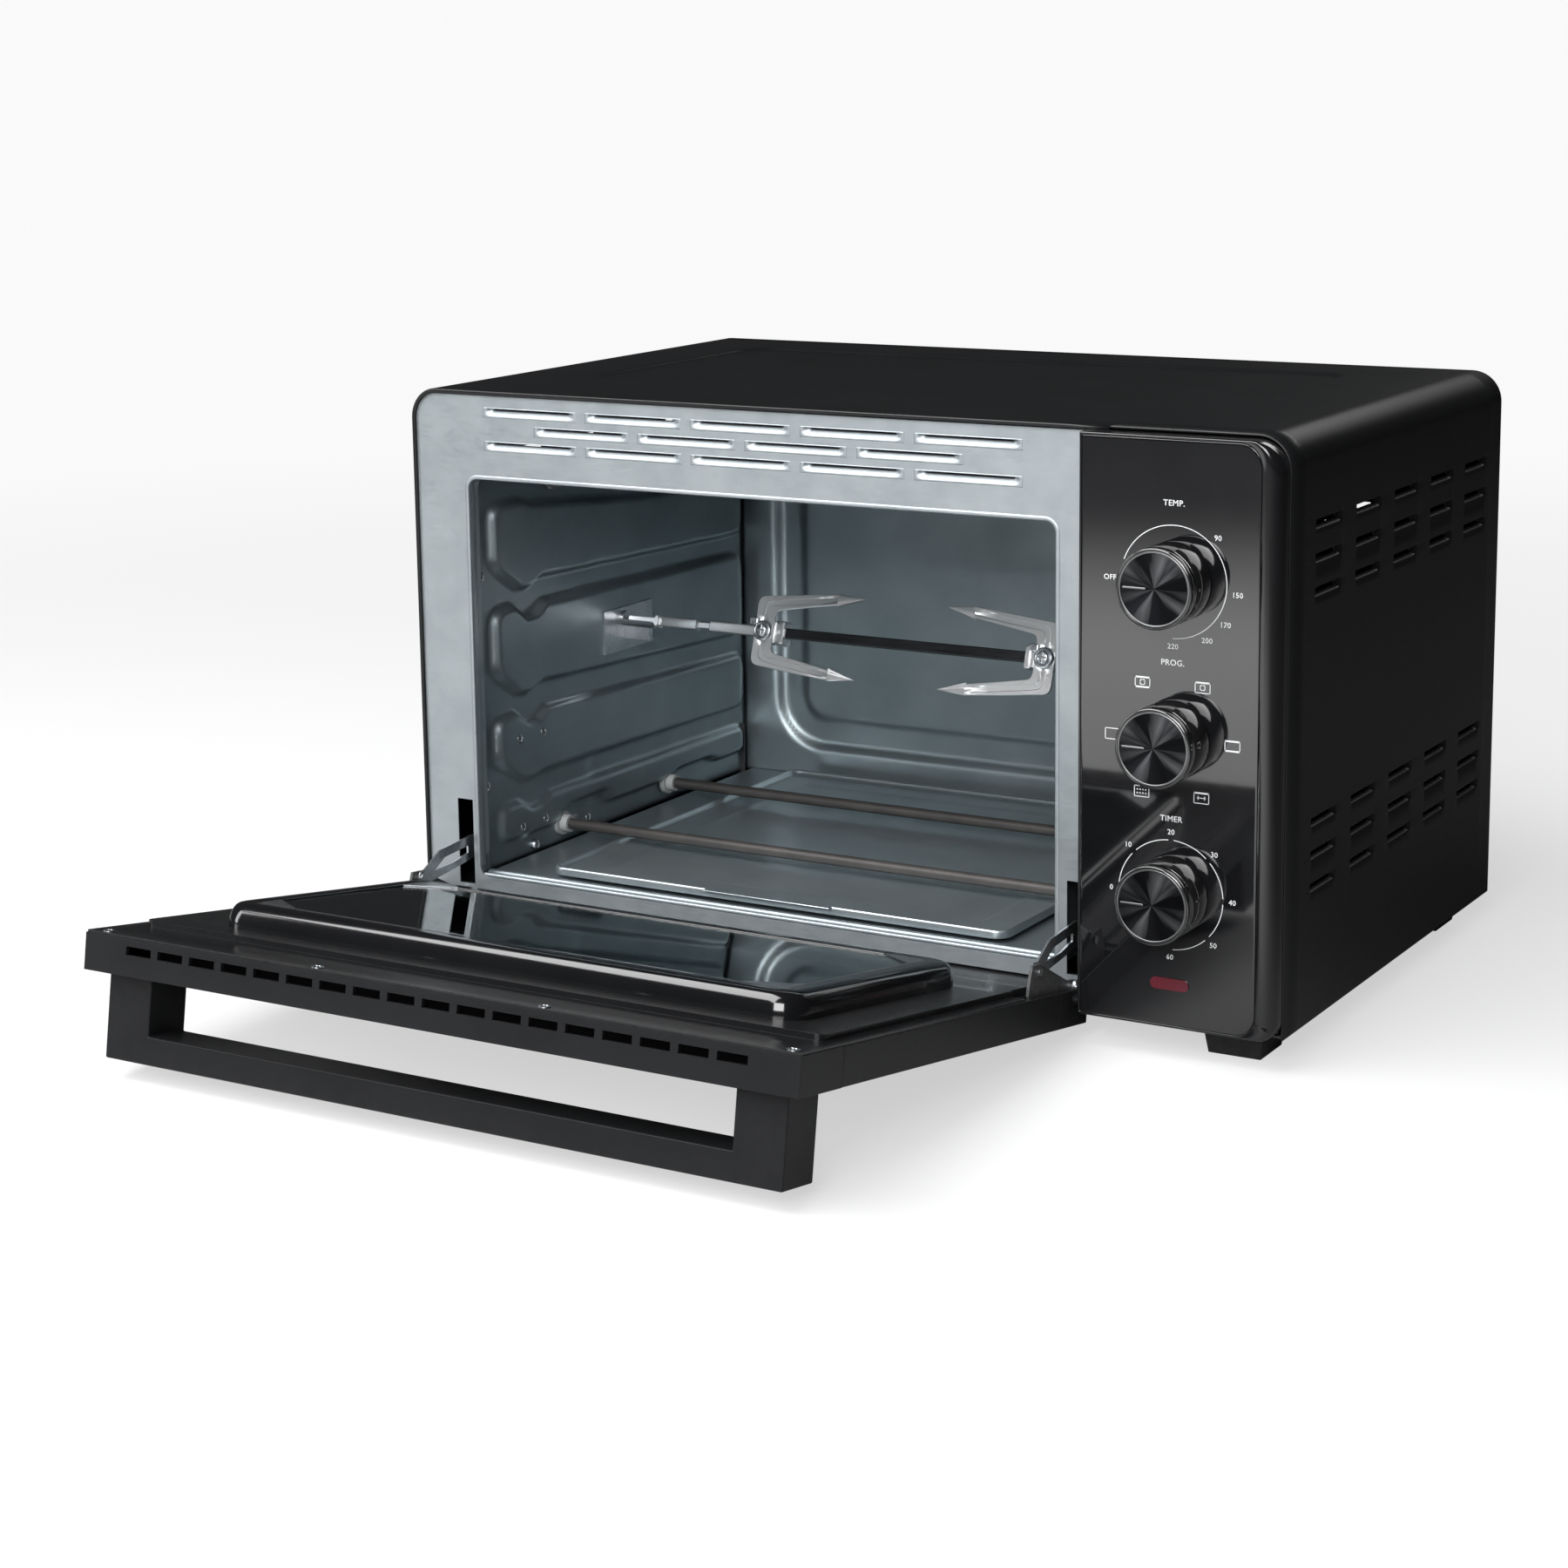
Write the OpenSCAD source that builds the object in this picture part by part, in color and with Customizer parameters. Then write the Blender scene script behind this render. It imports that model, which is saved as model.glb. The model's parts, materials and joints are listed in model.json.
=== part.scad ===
// Rotisserie oven: sheet-steel case, drop-down glass door, control panel, spit and heaters.
// Working frame: X across the front, Y to the rear from the case's front face, Z up from the case's base.
// seated() then moves everything so that the origin is under the middle of the whole oven, on its feet.

/* [Case] */
// Width of the case across its side sheets
case_w = 522; // [430:1:640]
// Depth of the case from its front face to its rear edge
case_d = 314; // [260:1:380]
// Height of the case without its feet
case_h = 300; // [270:1:360]
// Radius of the two upper case edges
case_r = 17; // [8:1:24]
// Thickness of the case, base and rear sheets
sheet = 1.2; // [0.8:0.1:1.6]
// Thickness of the chamber and front sheets
liner = 0.8; // [0.6:0.1:1.2]
// Width of the lip that frames the front sheet
front_lip = 2.7; // [2:0.1:4]
// How deep the side louvres are pressed into the case
vent_deep = 3; // [1.5:0.1:4]
// Height of the feet
foot_h = 16.5; // [12:0.5:30]
// Depth of the pressed field in the case top
field_depth = 1.5; // [0.5:0.1:3]

/* [Chamber] */
// Width of the steel to the left of the mouth
pillar_left = 37; // [34:0.5:60]
// Width of the steel between the mouth and the control panel
pillar_right = 18; // [17:0.5:40]
// Height of the mouth's lower edge above the base
sill_h = 22.7; // [21:0.1:30]
// Height of the steel between the mouth and the case top
head_h = 49.5; // [46:0.5:70]
// Air gap between the chamber's rear wall and the case's rear edge
rear_gap = 12; // [9:0.5:40]
// Diameter of a heating rod
rod_d = 6.5; // [5:0.1:8]
// Distance of the front heating rods from the front face
rod_front = 88; // [60:1:110]
// Distance of the rear heating rods from the front face
rod_rear = 204; // [200:1:215]
// Gap between a crumb tray side and the chamber wall
tray_side = 38.6; // [10:0.1:60]

/* [Door] */
// Thickness of the door
door_t = 20; // [18:0.5:26]
// Angle between the closed door and the fully open door
open_angle = 80.7; // [70:0.1:90]
// Height of the hinge axis above the base
hinge_z = 13; // [12:0.5:13.5]
// Depth of the hinge axis behind the door's inner skin
hinge_in = 0.5; // [0.4:0.1:1]
// Gap between the closed door's inner skin and the front sheet
door_gap = 3.5; // [3.3:0.1:5]
// Height of the raised window ring above the door's inner skin
ring_h = 15.5; // [12:0.5:18]
// Distance that the handle bar stands off the door's outer face
handle_off = 29.5; // [26:0.5:40]
// Thickness of the handle bar
handle_bar = 14.4; // [10:0.2:20]
// Width and depth of a handle leg
handle_leg = 27; // [20:0.5:32]

/* [Control panel] */
// Width of the control panel
panel_w = 106.3; // [100:0.1:120]
// How far the control panel stands out of the front face
panel_t = 11.4; // [9:0.1:16]
// Diameter of a knob
knob_d = 40; // [30:0.5:44]
// Length of a knob
knob_len = 23.3; // [18:0.1:28]
// Diameter of a control's shaft
shaft_d = 6; // [5:0.1:7]
// Distance of the top dial's centre below the case top
dial_top = 73; // [60:0.5:80]
// Height of the lowest dial's centre above the base
dial_bottom = 70.1; // [60:0.1:80]

/* [Spit] */
// Distance of the spit from the front face
spit_y = 155; // [130:1:165]
// Height of the spit above the base
spit_z = 146; // [120:1:160]
// Side of the square spit
spit_side = 6; // [5:0.1:7]
// Length of a fork's tines
tine_len = 70; // [50:1:75]
// Distance of a tine from the spit's axis
tine_r = 23.6; // [18:0.1:28]
// Angle at which the forks stand at rest
spit_rest = 18; // [0:1:45]
// Diameter of the fan blade
fan_d = 84; // [60:1:90]

/* [Hidden] */
$fn = 48;

// Clearances
run_gap = 0.05;
fit_gap = 0.3;
move_gap = 0.5;
cut = 1;

// Case and mouth
half_w = case_w / 2;
panel_x = half_w - panel_w;
mouth_x0 = -half_w + pillar_left;
mouth_x1 = panel_x - pillar_right;
mouth_z0 = sill_h;
mouth_z1 = case_h - head_h;
mouth_mid = (mouth_x0 + mouth_x1) / 2;
mouth_r = 6;
wall_set = 2;
wall_x0 = mouth_x0 - wall_set;
wall_x1 = mouth_x1 + wall_set;
ceiling_z = mouth_z1 + wall_set;
chamber_y0 = 1.5;
chamber_y1 = case_d - rear_gap;
back_y = case_d - 3 - sheet;
inner_x = half_w - sheet - fit_gap;

// Pressed field in the case top
field = [[-half_w + 59, 78], [half_w - 71, case_d - 44]];
field_r = 20;

// Vents
vent_len = 36;
vent_h = 5;
vent_lip = 2;
vent_start = 33;
vent_pitch = 55.3;
vent_row = 16.8;
vent_wall = 0.8;
vent_tops = [case_h - 45, 105.2];
vent_cols = floor((case_d - vent_start - vent_len - 8) / vent_pitch);
slot_len = 60;
slot_h = 4.6;
slot_pitch = 67.3;
slot_row = 9.35;
slot_drop = 9.7;
slot_off = -3.4;
slots_wide = floor((mouth_x1 - mouth_x0) / slot_pitch);

// Door: its own frame has X across, Y out of the inner skin and Z up along the closed door
hinge_y = door_gap + hinge_in;
door_x0 = -half_w + front_lip + move_gap;
door_x1 = panel_x - 1.7;
door_top = case_h - 4 - hinge_z;
door_low = 2 - hinge_z;
skin_y = hinge_in;
face_y = hinge_in - door_t;
skin = 1.2;
core_y = skin_y - skin;
top_rail_w = 38;
side_rail_w = 16.5;
low_rail_w = 33;
rail_wall = 2.5;
land_h = door_gap - move_gap;
land_in = 8;
land_top = door_top - 33;
land_low = 24;
ring_x0 = mouth_x0 + 8;
ring_x1 = mouth_x1 - 15.7;
ring_z0 = 68;
ring_z1 = mouth_z1 - hinge_z - 3;
ring_w = 15;
ring_r = 15;
tongue_in = 3 + fit_gap;
pane_edge = ring_w - 3 + fit_gap;
ring_top = skin_y + ring_h;
glass_t = 3;
sill_z = hinge_z + 1.2;
tail_y = 8.8;

// Hinges
slot_w = 10.5;
lever_slot_top = 66.8;
lever_slot_low = 17.5;
hinge_x = [-half_w + 27.8, panel_x - 5.95];
ear_r = 3.6;
ear_t = 1.8;
plate_t = 1.6;
lever_t = 1.2;
hinge_pin_d = 4;
pivot_y = 11.4;
pivot_z = 42;
pivot_d = 4;
notch_w = 13;

// Where the lever's pivot stands in the working frame with the door open
pivot_at = [-hinge_y + pivot_y * cos(open_angle) - pivot_z * sin(open_angle),
    hinge_z + pivot_y * sin(open_angle) + pivot_z * cos(open_angle)];

// Handle
handle_s1 = door_top - 8.5;
handle_s0 = handle_s1 - handle_leg;
handle_in = 9.6;
handle_low = face_y - handle_off - handle_bar;

// Control panel
dial_x = half_w - 55.6;
dial_pitch = (case_h - dial_top - dial_bottom) / 2;
dial_z = [case_h - dial_top, dial_bottom + dial_pitch, dial_bottom];
panel_wall = 2.4;
pane_t = 1.6;
pane_x1 = half_w - 10.5;
pane_in = 1.5;
pane_gap = 0.1;
pane_r = 11;
panel_r = 8;
edge_in = 0.5;
panel_z0 = 1.5;
panel_z1 = case_h - 2;
lens_w = 20.5;
lens_h = 6;
lens_z = 24.3;
knob_gap = 0.5;
knob_back = -panel_t - knob_gap;
knob_front = knob_back - knob_len;
cap_t = 0.8;
control_y = 3;

// Chamber fittings
rib_zs = [65, 119.5, 182];
rib_y0 = 72;
rib_h = 3;
rib_out = 2;
frame_in = [18, 32];
frame_r = 18;
frame_line = 3;
frame_out = 2;
rivet_d = 4.5;
rivets = [[44.7, 93.4], [45.6, 40.4], [11.3, 192.9], [11.3, 72.2]];
more_rivets = [[68.5, 92.8], [112, 44]];
rod_ys = [rod_front, rod_rear];
rod_zs = [sill_h + 11.3, ceiling_z - 12.5];
rod_over = 12;
bush_d = 10;
bush_flange_d = 14;
tray_z = sill_h + 2.3;
spit_x1 = wall_x1 + 1;
pin_d = 5;
fork_x = [wall_x0 + 95, wall_x1 - 75];
strap_w = 12.5;
fork_face = spit_side / 2 + 1.8;
fork_t = 1.5;
hub_half = 6.8;
hub_len = 19;
screw_head_d = 12;
cradle_x = wall_x0 + 23;
socket_d = 14;
boss_d = 8;
motor_x = wall_x1 + 8;
fan_y = min(238, chamber_y1 - fan_d / 2 - 8);
fan_z = min(196, ceiling_z - fan_d / 2 - 6);
fan_wall = 1.2;
fan_deep = 22;

// Springs
wire_d = 1.6;
spring_z = 48;
spring_y0 = 101;
spring_y1 = 210;
lug_y = chamber_y1 - 6;

// Rear
inlet = [half_w - 60, 40];
grommet_bore = 8;

// Feet
foot_w = 33;
foot_taper = 2.5;

// Frame shift
reach = hinge_y + door_top * sin(open_angle) - face_y * cos(open_angle);
shift_y = (reach - case_d) / 2;

// ---- helpers ----

// Moves the working frame to the finished frame
module seated() translate([0, shift_y, foot_h]) children();

// Carries the door's own frame to its place on the hinge axis, open
module on_door() translate([0, -hinge_y, hinge_z]) rotate([open_angle, 0, 0]) children();

// A drawing in X and Z made solid from y0 back to y1
module along_y(y0, y1) translate([0, y1, 0]) rotate([90, 0, 0]) linear_extrude(y1 - y0) children();

// A drawing in Y and Z made solid from x0 to x1
module along_x(x0, x1) translate([x0, 0, 0]) rotate([90, 0, 90]) linear_extrude(x1 - x0) children();

// A drawing in X and Y made solid from z0 to z1
module along_z(z0, z1) translate([0, 0, z0]) linear_extrude(z1 - z0) children();

// A block between two corners
module block(a, b) translate(a) cube(b - a);

// A flat rectangle between two corners, with corner radius r
module flat(x0, y0, x1, y1, r = 0) {
    translate([x0 + r, y0]) square([x1 - x0 - 2 * r, y1 - y0]);
    if (r > 0) {
        translate([x0, y0 + r]) square([x1 - x0, y1 - y0 - 2 * r]);
        for (x = [x0 + r, x1 - r], y = [y0 + r, y1 - r]) translate([x, y]) circle(r);
    }
}

// The case outline, inset by t: square at the base, round at the two upper corners
module case_outline(t, low = 0) {
    r = case_r - t;
    translate([-half_w + t, low]) square([case_w - 2 * t, case_h - t - r - low]);
    translate([-half_w + t + r, low]) square([case_w - 2 * (t + r), case_h - t - low]);
    for (x = [-1, 1]) translate([x * (half_w - t - r), case_h - t - r]) circle(r);
}

// A round bar along X from x0 to x1 at y, z
module bar_x(d, x0, x1, y, z) translate([x0, y, z]) rotate([0, 90, 0]) cylinder(d = d, h = x1 - x0);

// A round bar along Y from y0 to y1 at x, z
module bar_y(d, y0, y1, x, z) translate([x, y1, z]) rotate([90, 0, 0]) cylinder(d = d, h = y1 - y0);

// ---- case ----

// Sets what it is given at every louvre of one side, at the louvre's front lower corner
module side_vents()
    for (top = vent_tops, row = [0:2], col = [0:vent_cols])
        translate([0, vent_start + col * vent_pitch, top - row * vent_row - vent_h]) children();

// One louvre pressed into a side: a slope that rises inwards from its lower edge, closed at its ends
module louvre_scoop() {
    along = [[0, vent_len], [0, vent_wall], [vent_len - vent_wall, vent_len]];
    for (k = [0:2]) translate([0, along[k][1], 0]) rotate([90, 0, 0])
        linear_extrude(along[k][1] - along[k][0])
            if (k == 0) polygon([[0, -cut], [-sheet, -cut], [-vent_deep, vent_lip],
                [-vent_deep + vent_wall, vent_lip], [0, 0]]);
            else polygon([[0, -cut], [-sheet, -cut], [-vent_deep, vent_lip],
                [-vent_deep, vent_h + cut], [0, vent_h + cut]]);
}

module side_scoops() side_vents() translate([half_w, 0, 0]) louvre_scoop();

module side_openings()
    side_vents() translate([half_w - sheet - cut, vent_wall, 0])
        cube([sheet + 2 * cut, vent_len - 2 * vent_wall, vent_h]);

module outer_case() color("#17181a") {
    difference() {
        union() {
            difference() {
                along_y(0, case_d) case_outline(0);
                along_y(-cut, case_d + cut) case_outline(sheet, -cut);
            }
            difference() {
                along_y(-sheet, 0) case_outline(0);
                along_y(-sheet - cut, cut) case_outline(front_lip, -cut);
                block([panel_x - fit_gap, -sheet - cut, -cut], [half_w + cut, cut / 2, case_h + cut]);
            }
            along_z(case_h - field_depth - sheet, case_h - sheet)
                flat(field[0][0] - sheet, field[0][1] - sheet,
                    field[1][0] + sheet, field[1][1] + sheet, field_r + sheet);
        }
        along_z(case_h - field_depth, case_h + cut)
            flat(field[0][0], field[0][1], field[1][0], field[1][1], field_r);
        side_openings();
        mirror([1, 0, 0]) side_openings();
    }
    side_scoops();
    mirror([1, 0, 0]) side_scoops();
}

module back_panel() color("#2a2c2f") difference() {
    along_y(back_y, back_y + sheet) case_outline(sheet + fit_gap, sheet + fit_gap);
    for (row = [0:3], x = [-half_w + 60:40:half_w - 90])
        translate([x, back_y - cut, case_h - 70 - row * 12]) cube([28, sheet + 2 * cut, 4]);
    bar_y(grommet_bore + 6, back_y - cut, back_y + sheet + cut, inlet[0], inlet[1]);
}

module base_pan() color("#2a2c2f") difference() {
    union() {
        block([-inner_x, tail_y + liner + fit_gap, 0], [inner_x, back_y - fit_gap, sheet]);
        block([panel_x, control_y, 0], [inner_x, tail_y + 2, sheet]);
        for (x = [-inner_x, inner_x - sheet])
            block([x, tail_y + liner + fit_gap, 0], [x + sheet, back_y - fit_gap, 12]);
        block([-inner_x, back_y - fit_gap - sheet, 0], [inner_x, back_y - fit_gap, 12]);
        for (k = [0, 1]) block([lever_x(k) - 3, lug_y, 0], [lever_x(k) + 3, lug_y + sheet, spring_z + 5]);
    }
    for (x = [mouth_mid - 60:30:mouth_mid + 60], y = [80:30:200])
        translate([x, y, -cut]) cylinder(d = 8, h = sheet + 2 * cut);
    for (k = [0, 1]) bar_y(wire_d + 2 * run_gap, lug_y - cut, lug_y + sheet + cut, lever_x(k), spring_z);
}

module front_frame() color("#b9bfc2") {
    difference() {
        union() {
            along_y(0, liner) case_outline(front_lip + 0.01, sill_z);
            along_y(0, liner) translate([panel_x + 3, panel_z0 + 2]) square([panel_w - 6, sill_z]);
            block([-half_w + front_lip, 0, sill_z], [door_x1, tail_y + liner, sill_z + liner]);
            block([-half_w + front_lip, tail_y, sheet + fit_gap], [door_x1, tail_y + liner, sill_z + liner]);
            difference() {
                along_y(0, 9) flat(mouth_x0 - liner, mouth_z0, mouth_x1 + liner, mouth_z1 + liner, mouth_r);
                block([mouth_x0 - 5, liner, mouth_z0 - cut], [mouth_x1 + 5, 10, mouth_z0 + 12]);
            }
        }
        along_y(-cut, 10) flat(mouth_x0, mouth_z0, mouth_x1, mouth_z1, mouth_r);
        for (row = [0:2])
            for (k = [0:slots_wide - 1 - row % 2])
                translate([mouth_mid + slot_off + (k - (slots_wide - 1 - row % 2) / 2) * slot_pitch,
                    0, case_h - slot_drop - row * slot_row - slot_h / 2])
                    cube([slot_len, 4, slot_h], center = true);
        for (x = hinge_x)
            block([x - slot_w / 2, -cut, lever_slot_low], [x + slot_w / 2, liner + cut, lever_slot_top]);
        for (z = dial_z) bar_y(14, -cut, liner + cut, dial_x, z);
        bar_y(8, -cut, liner + cut, dial_x, lens_z);
    }
}

// A block that narrows by foot_taper on every side towards its lower end
module tapered_foot() {
    half = foot_w / 2;
    slope = [[-half, foot_h], [half, foot_h], [half - foot_taper, 0], [-half + foot_taper, 0]];
    intersection() {
        along_x(-half, half) polygon(slope);
        along_y(-half, half) polygon(slope);
    }
}

module feet() color("#141516")
    for (x = [-1, 1], y = [tail_y + 19, case_d - 25]) translate([x * (half_w - 31), y, -foot_h])
        difference() {
            tapered_foot();
            translate([0, 0, -cut]) cylinder(d = 9, h = 5 + cut);
        }

// Pan-head screws: rear panel rim and the base flange
module case_screws() color("#8d9194") {
    for (x = [-half_w + 12, -half_w / 3, half_w / 3, half_w - 12], z = [18, case_h - 12])
        if (!(abs(x) > half_w - 20 && z > case_h / 2)) {
            bar_y(6, back_y + sheet, back_y + sheet + 1.8, x, z);
        }
    for (x = [-1, 1], z = [case_h / 2, case_h - case_r - 10])
        bar_y(6, back_y + sheet, back_y + sheet + 1.8, x * (half_w - 12), z);
}

// ---- chamber ----

// Straight pressed ribs along a side wall, standing into the chamber
module wall_ribs(x, dir)
    for (z = rib_zs) if (z < ceiling_z - 30)
        translate([min(x, x + dir * rib_out), rib_y0, z])
            cube([rib_out, chamber_y1 - 12 - rib_y0, rib_h]);

module rod_holes(x)
    for (y = rod_ys, z = rod_zs) bar_x(bush_d + 2 * run_gap, x - 4, x + 4, y, z);

module chamber_left_wall() color("#9aa4a6") difference() {
    union() {
        block([wall_x0 - liner, chamber_y0, sill_h - liner], [wall_x0, chamber_y1, ceiling_z]);
        wall_ribs(wall_x0, 1);
    }
    rod_holes(wall_x0);
}

module chamber_right_wall() color("#9aa4a6") difference() {
    union() {
        block([wall_x1, chamber_y0, sill_h - liner], [wall_x1 + liner, chamber_y1, ceiling_z]);
        difference() {
            wall_ribs(wall_x1, -1);
            bar_x(fan_d + 20, wall_x1 - 4, wall_x1 + 4, fan_y, fan_z);
            bar_x(36, wall_x1 - 4, wall_x1 + 4, spit_y, spit_z);
        }
    }
    rod_holes(wall_x1);
    bar_x(socket_d + 4, wall_x1 - 4, wall_x1 + 4, spit_y, spit_z);
    for (ring = [1:3], k = [0:ring * 6 - 1])
        bar_x(6, wall_x1 - 4, wall_x1 + 4,
            fan_y + ring * 11 * cos(k * 60 / ring), fan_z + ring * 11 * sin(k * 60 / ring));
}

module chamber_top() color("#8e989a")
    block([wall_x0 - liner, chamber_y0 + 8, ceiling_z], [wall_x1 + liner, chamber_y1, ceiling_z + liner]);

module chamber_back() color("#8e989a") {
    block([wall_x0 - liner, chamber_y1, sill_h - liner],
        [wall_x1 + liner, chamber_y1 + liner, ceiling_z + liner]);
    difference() {
        along_y(chamber_y1 - frame_out, chamber_y1)
            flat(wall_x0 + frame_in[0], sill_h + frame_in[1],
                wall_x1 - frame_in[0], ceiling_z - frame_in[1], frame_r);
        along_y(chamber_y1 - frame_out - cut, chamber_y1 - cut)
            flat(wall_x0 + frame_in[0] + frame_line, sill_h + frame_in[1] + frame_line,
                wall_x1 - frame_in[0] - frame_line, ceiling_z - frame_in[1] - frame_line,
                frame_r - frame_line);
    }
}

module chamber_floor() color("#8e989a") {
    block([wall_x0, chamber_y0, sill_h - liner], [wall_x1, chamber_y1, sill_h]);
    bar_x(4.2, wall_x0 + 1.5, wall_x1 - 1.5, 10, sill_h);
    for (x = [-0.3, 0.3]) translate([mouth_mid + x * (mouth_x1 - mouth_x0), 30, sill_h])
        cube([6, chamber_y1 - 60, tray_z - sill_h]);
}

module crumb_tray() color("#a6afb1") {
    x0 = wall_x0 + tray_side;
    x1 = wall_x1 - tray_side;
    y1 = chamber_y1 - 14;
    difference() {
        block([x0, 16, tray_z], [x1, y1, tray_z + 4.6]);
        block([x0 + liner, 16 + liner, tray_z + liner], [x1 - liner, y1 - liner, tray_z + 6]);
    }
    block([mouth_mid - 40, 13, tray_z + 3.8], [mouth_mid + 40, 16 + liner / 2, tray_z + 4.6]);
}

module heater_rods() color("#4a413b")
    for (y = rod_ys, z = rod_zs) bar_x(rod_d, wall_x0 - rod_over, wall_x1 + rod_over, y, z);

module heater_bushes() color("#e9e4d8")
    for (y = rod_ys, z = rod_zs, side = [[wall_x0, -1], [wall_x1, 1]]) difference() {
        union() {
            bar_x(bush_d, side[0] - 4, side[0] + 4, y, z);
            bar_x(bush_flange_d, side[0] + (side[1] > 0 ? liner + 0.01 : -4),
                side[0] + (side[1] > 0 ? 4 : -liner - 0.01), y, z);
        }
        bar_x(rod_d + 2 * run_gap, side[0] - 5, side[0] + 5, y, z);
    }

// Rivets of the chamber's left wall, seen from inside, and the same on the right
module chamber_rivets() color("#c9cdd0") {
    for (p = concat(rivets, more_rivets)) bar_x(rivet_d, wall_x0, wall_x0 + 1, p[0], p[1]);
    for (p = rivets) bar_x(rivet_d, wall_x1 - 1, wall_x1, p[0], p[1]);
}

// ---- control panel ----

// The fascia's section from above: a plain left edge and a round right edge
module fascia_section() difference() {
    union() {
        translate([panel_x, -panel_t]) square([panel_w - edge_in - panel_r, panel_t]);
        translate([panel_x, -panel_t + panel_r]) square([panel_w - edge_in, panel_t - panel_r]);
        translate([half_w - edge_in - panel_r, -panel_t + panel_r]) circle(panel_r);
    }
    translate([panel_x - cut, -run_gap]) square([panel_w + 2 * cut, panel_r]);
}

module control_fascia() color("#0c0d0e") difference() {
    intersection() {
        along_z(panel_z0, panel_z1) fascia_section();
        along_y(-panel_t - cut, cut) case_outline(edge_in, -cut);
    }
    block([panel_x + panel_wall, -panel_t + pane_t + panel_wall, panel_z0 + panel_wall],
        [pane_x1 - panel_wall, cut, panel_z1 - pane_r]);
    along_y(-panel_t - cut, -panel_t + pane_t)
        flat(panel_x + pane_in, panel_z0 + pane_in, pane_x1, panel_z1 - pane_in, pane_r);
    for (z = dial_z) bar_y(shaft_d + 4, -panel_t - cut, cut, dial_x, z);
    block([dial_x - lens_w / 2 - fit_gap, -panel_t - cut, lens_z - lens_h / 2 - fit_gap],
        [dial_x + lens_w / 2 + fit_gap, cut, lens_z + lens_h / 2 + fit_gap]);
}

module panel_glass() color("#050607") difference() {
    along_y(-panel_t, -panel_t + pane_t - 0.05)
        flat(panel_x + pane_in + pane_gap, panel_z0 + pane_in + pane_gap,
            pane_x1 - pane_gap, panel_z1 - pane_in - pane_gap, pane_r - pane_gap);
    for (z = dial_z) bar_y(shaft_d + 4, -panel_t - cut, cut, dial_x, z);
    block([dial_x - lens_w / 2 - fit_gap, -panel_t - cut, lens_z - lens_h / 2 - fit_gap],
        [dial_x + lens_w / 2 + fit_gap, cut, lens_z + lens_h / 2 + fit_gap]);
}

module indicator_lens() color("#c42418")
    along_y(-panel_t - 0.6, -panel_t + 6)
        flat(dial_x - lens_w / 2, lens_z - lens_h / 2, dial_x + lens_w / 2, lens_z + lens_h / 2, 2.9);

module indicator_lamp() color("#f2b46a") {
    bar_y(5, -panel_t + 6.2, 14, dial_x, lens_z);
    bar_y(10, liner + 0.1, 9, dial_x, lens_z);
}

// A control's threaded neck and shaft, in front of its body
module control_neck(z) {
    bar_y(9, 0.5 - panel_t + pane_t, control_y + 1, dial_x, z);
    bar_y(shaft_d, knob_front + 5, control_y, dial_x, z);
}

module thermostat() color("#b8aa8c") {
    z = dial_z[0];
    block([dial_x - 19, control_y, z - 17], [dial_x + 19, control_y + 9, z + 17]);
    block([dial_x - 12, control_y + 9, z - 17], [dial_x + 12, control_y + 30, z + 17]);
    for (x = [-8, 8]) translate([dial_x + x - 3, control_y + 30, z - 0.4]) cube([6, 8, 0.8]);
    control_neck(z);
}

module function_switch() color("#e6e1d6") {
    z = dial_z[1];
    bar_y(40, control_y, control_y + 26, dial_x, z);
    for (k = [0:5]) translate([dial_x + 13 * cos(k * 60), control_y + 26, z + 13 * sin(k * 60)])
        translate([-3, 0, -0.4]) cube([6, 8, 0.8]);
    control_neck(z);
}

module timer_mechanism() color("#c6c9cb") {
    z = dial_z[2];
    block([dial_x - 25, control_y, z - 25], [dial_x + 25, control_y + 24, z + 25]);
    bar_y(36, control_y + 24, control_y + 34, dial_x, z);
    for (x = [-18, 18]) translate([dial_x + x - 3, control_y + 24, z + 19]) cube([6, 9, 1]);
    control_neck(z);
}

// A knob: a deep cap with a rim, a bore for its shaft and a recess for its disc
module knob(z) difference() {
    union() {
        bar_y(knob_d, knob_front + 1, knob_back, dial_x, z);
        bar_y(knob_d - 1.4, knob_front, knob_front + 1, dial_x, z);
        translate([dial_x - knob_d / 2 - 0.5, knob_back - 6, z - 0.8]) cube([2, 6, 1.6]);
    }
    bar_y(knob_d - 3.4, knob_front - cut, knob_front + cap_t, dial_x, z);
    difference() {
        bar_y(knob_d - 5, knob_front + 4, knob_back + cut, dial_x, z);
        bar_y(shaft_d + 5, knob_front + 4, knob_back + cut, dial_x, z);
    }
    bar_y(shaft_d + 2 * run_gap, knob_front + 4.5, knob_back + cut, dial_x, z);
}

module knob_cap(z) bar_y(knob_d - 3.5, knob_front + 0.1, knob_front + cap_t, dial_x, z);

module temp_knob() color("#0b0b0c") knob(dial_z[0]);
module program_knob() color("#0b0b0c") knob(dial_z[1]);
module timer_knob() color("#0b0b0c") knob(dial_z[2]);
module temp_knob_cap() color("#3c3e40") knob_cap(dial_z[0]);
module program_knob_cap() color("#3c3e40") knob_cap(dial_z[1]);
module timer_knob_cap() color("#3c3e40") knob_cap(dial_z[2]);

// ---- spit and drive ----

module spit_frame() translate([0, spit_y, spit_z]) rotate([-spit_rest, 0, 0]) children();

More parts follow.
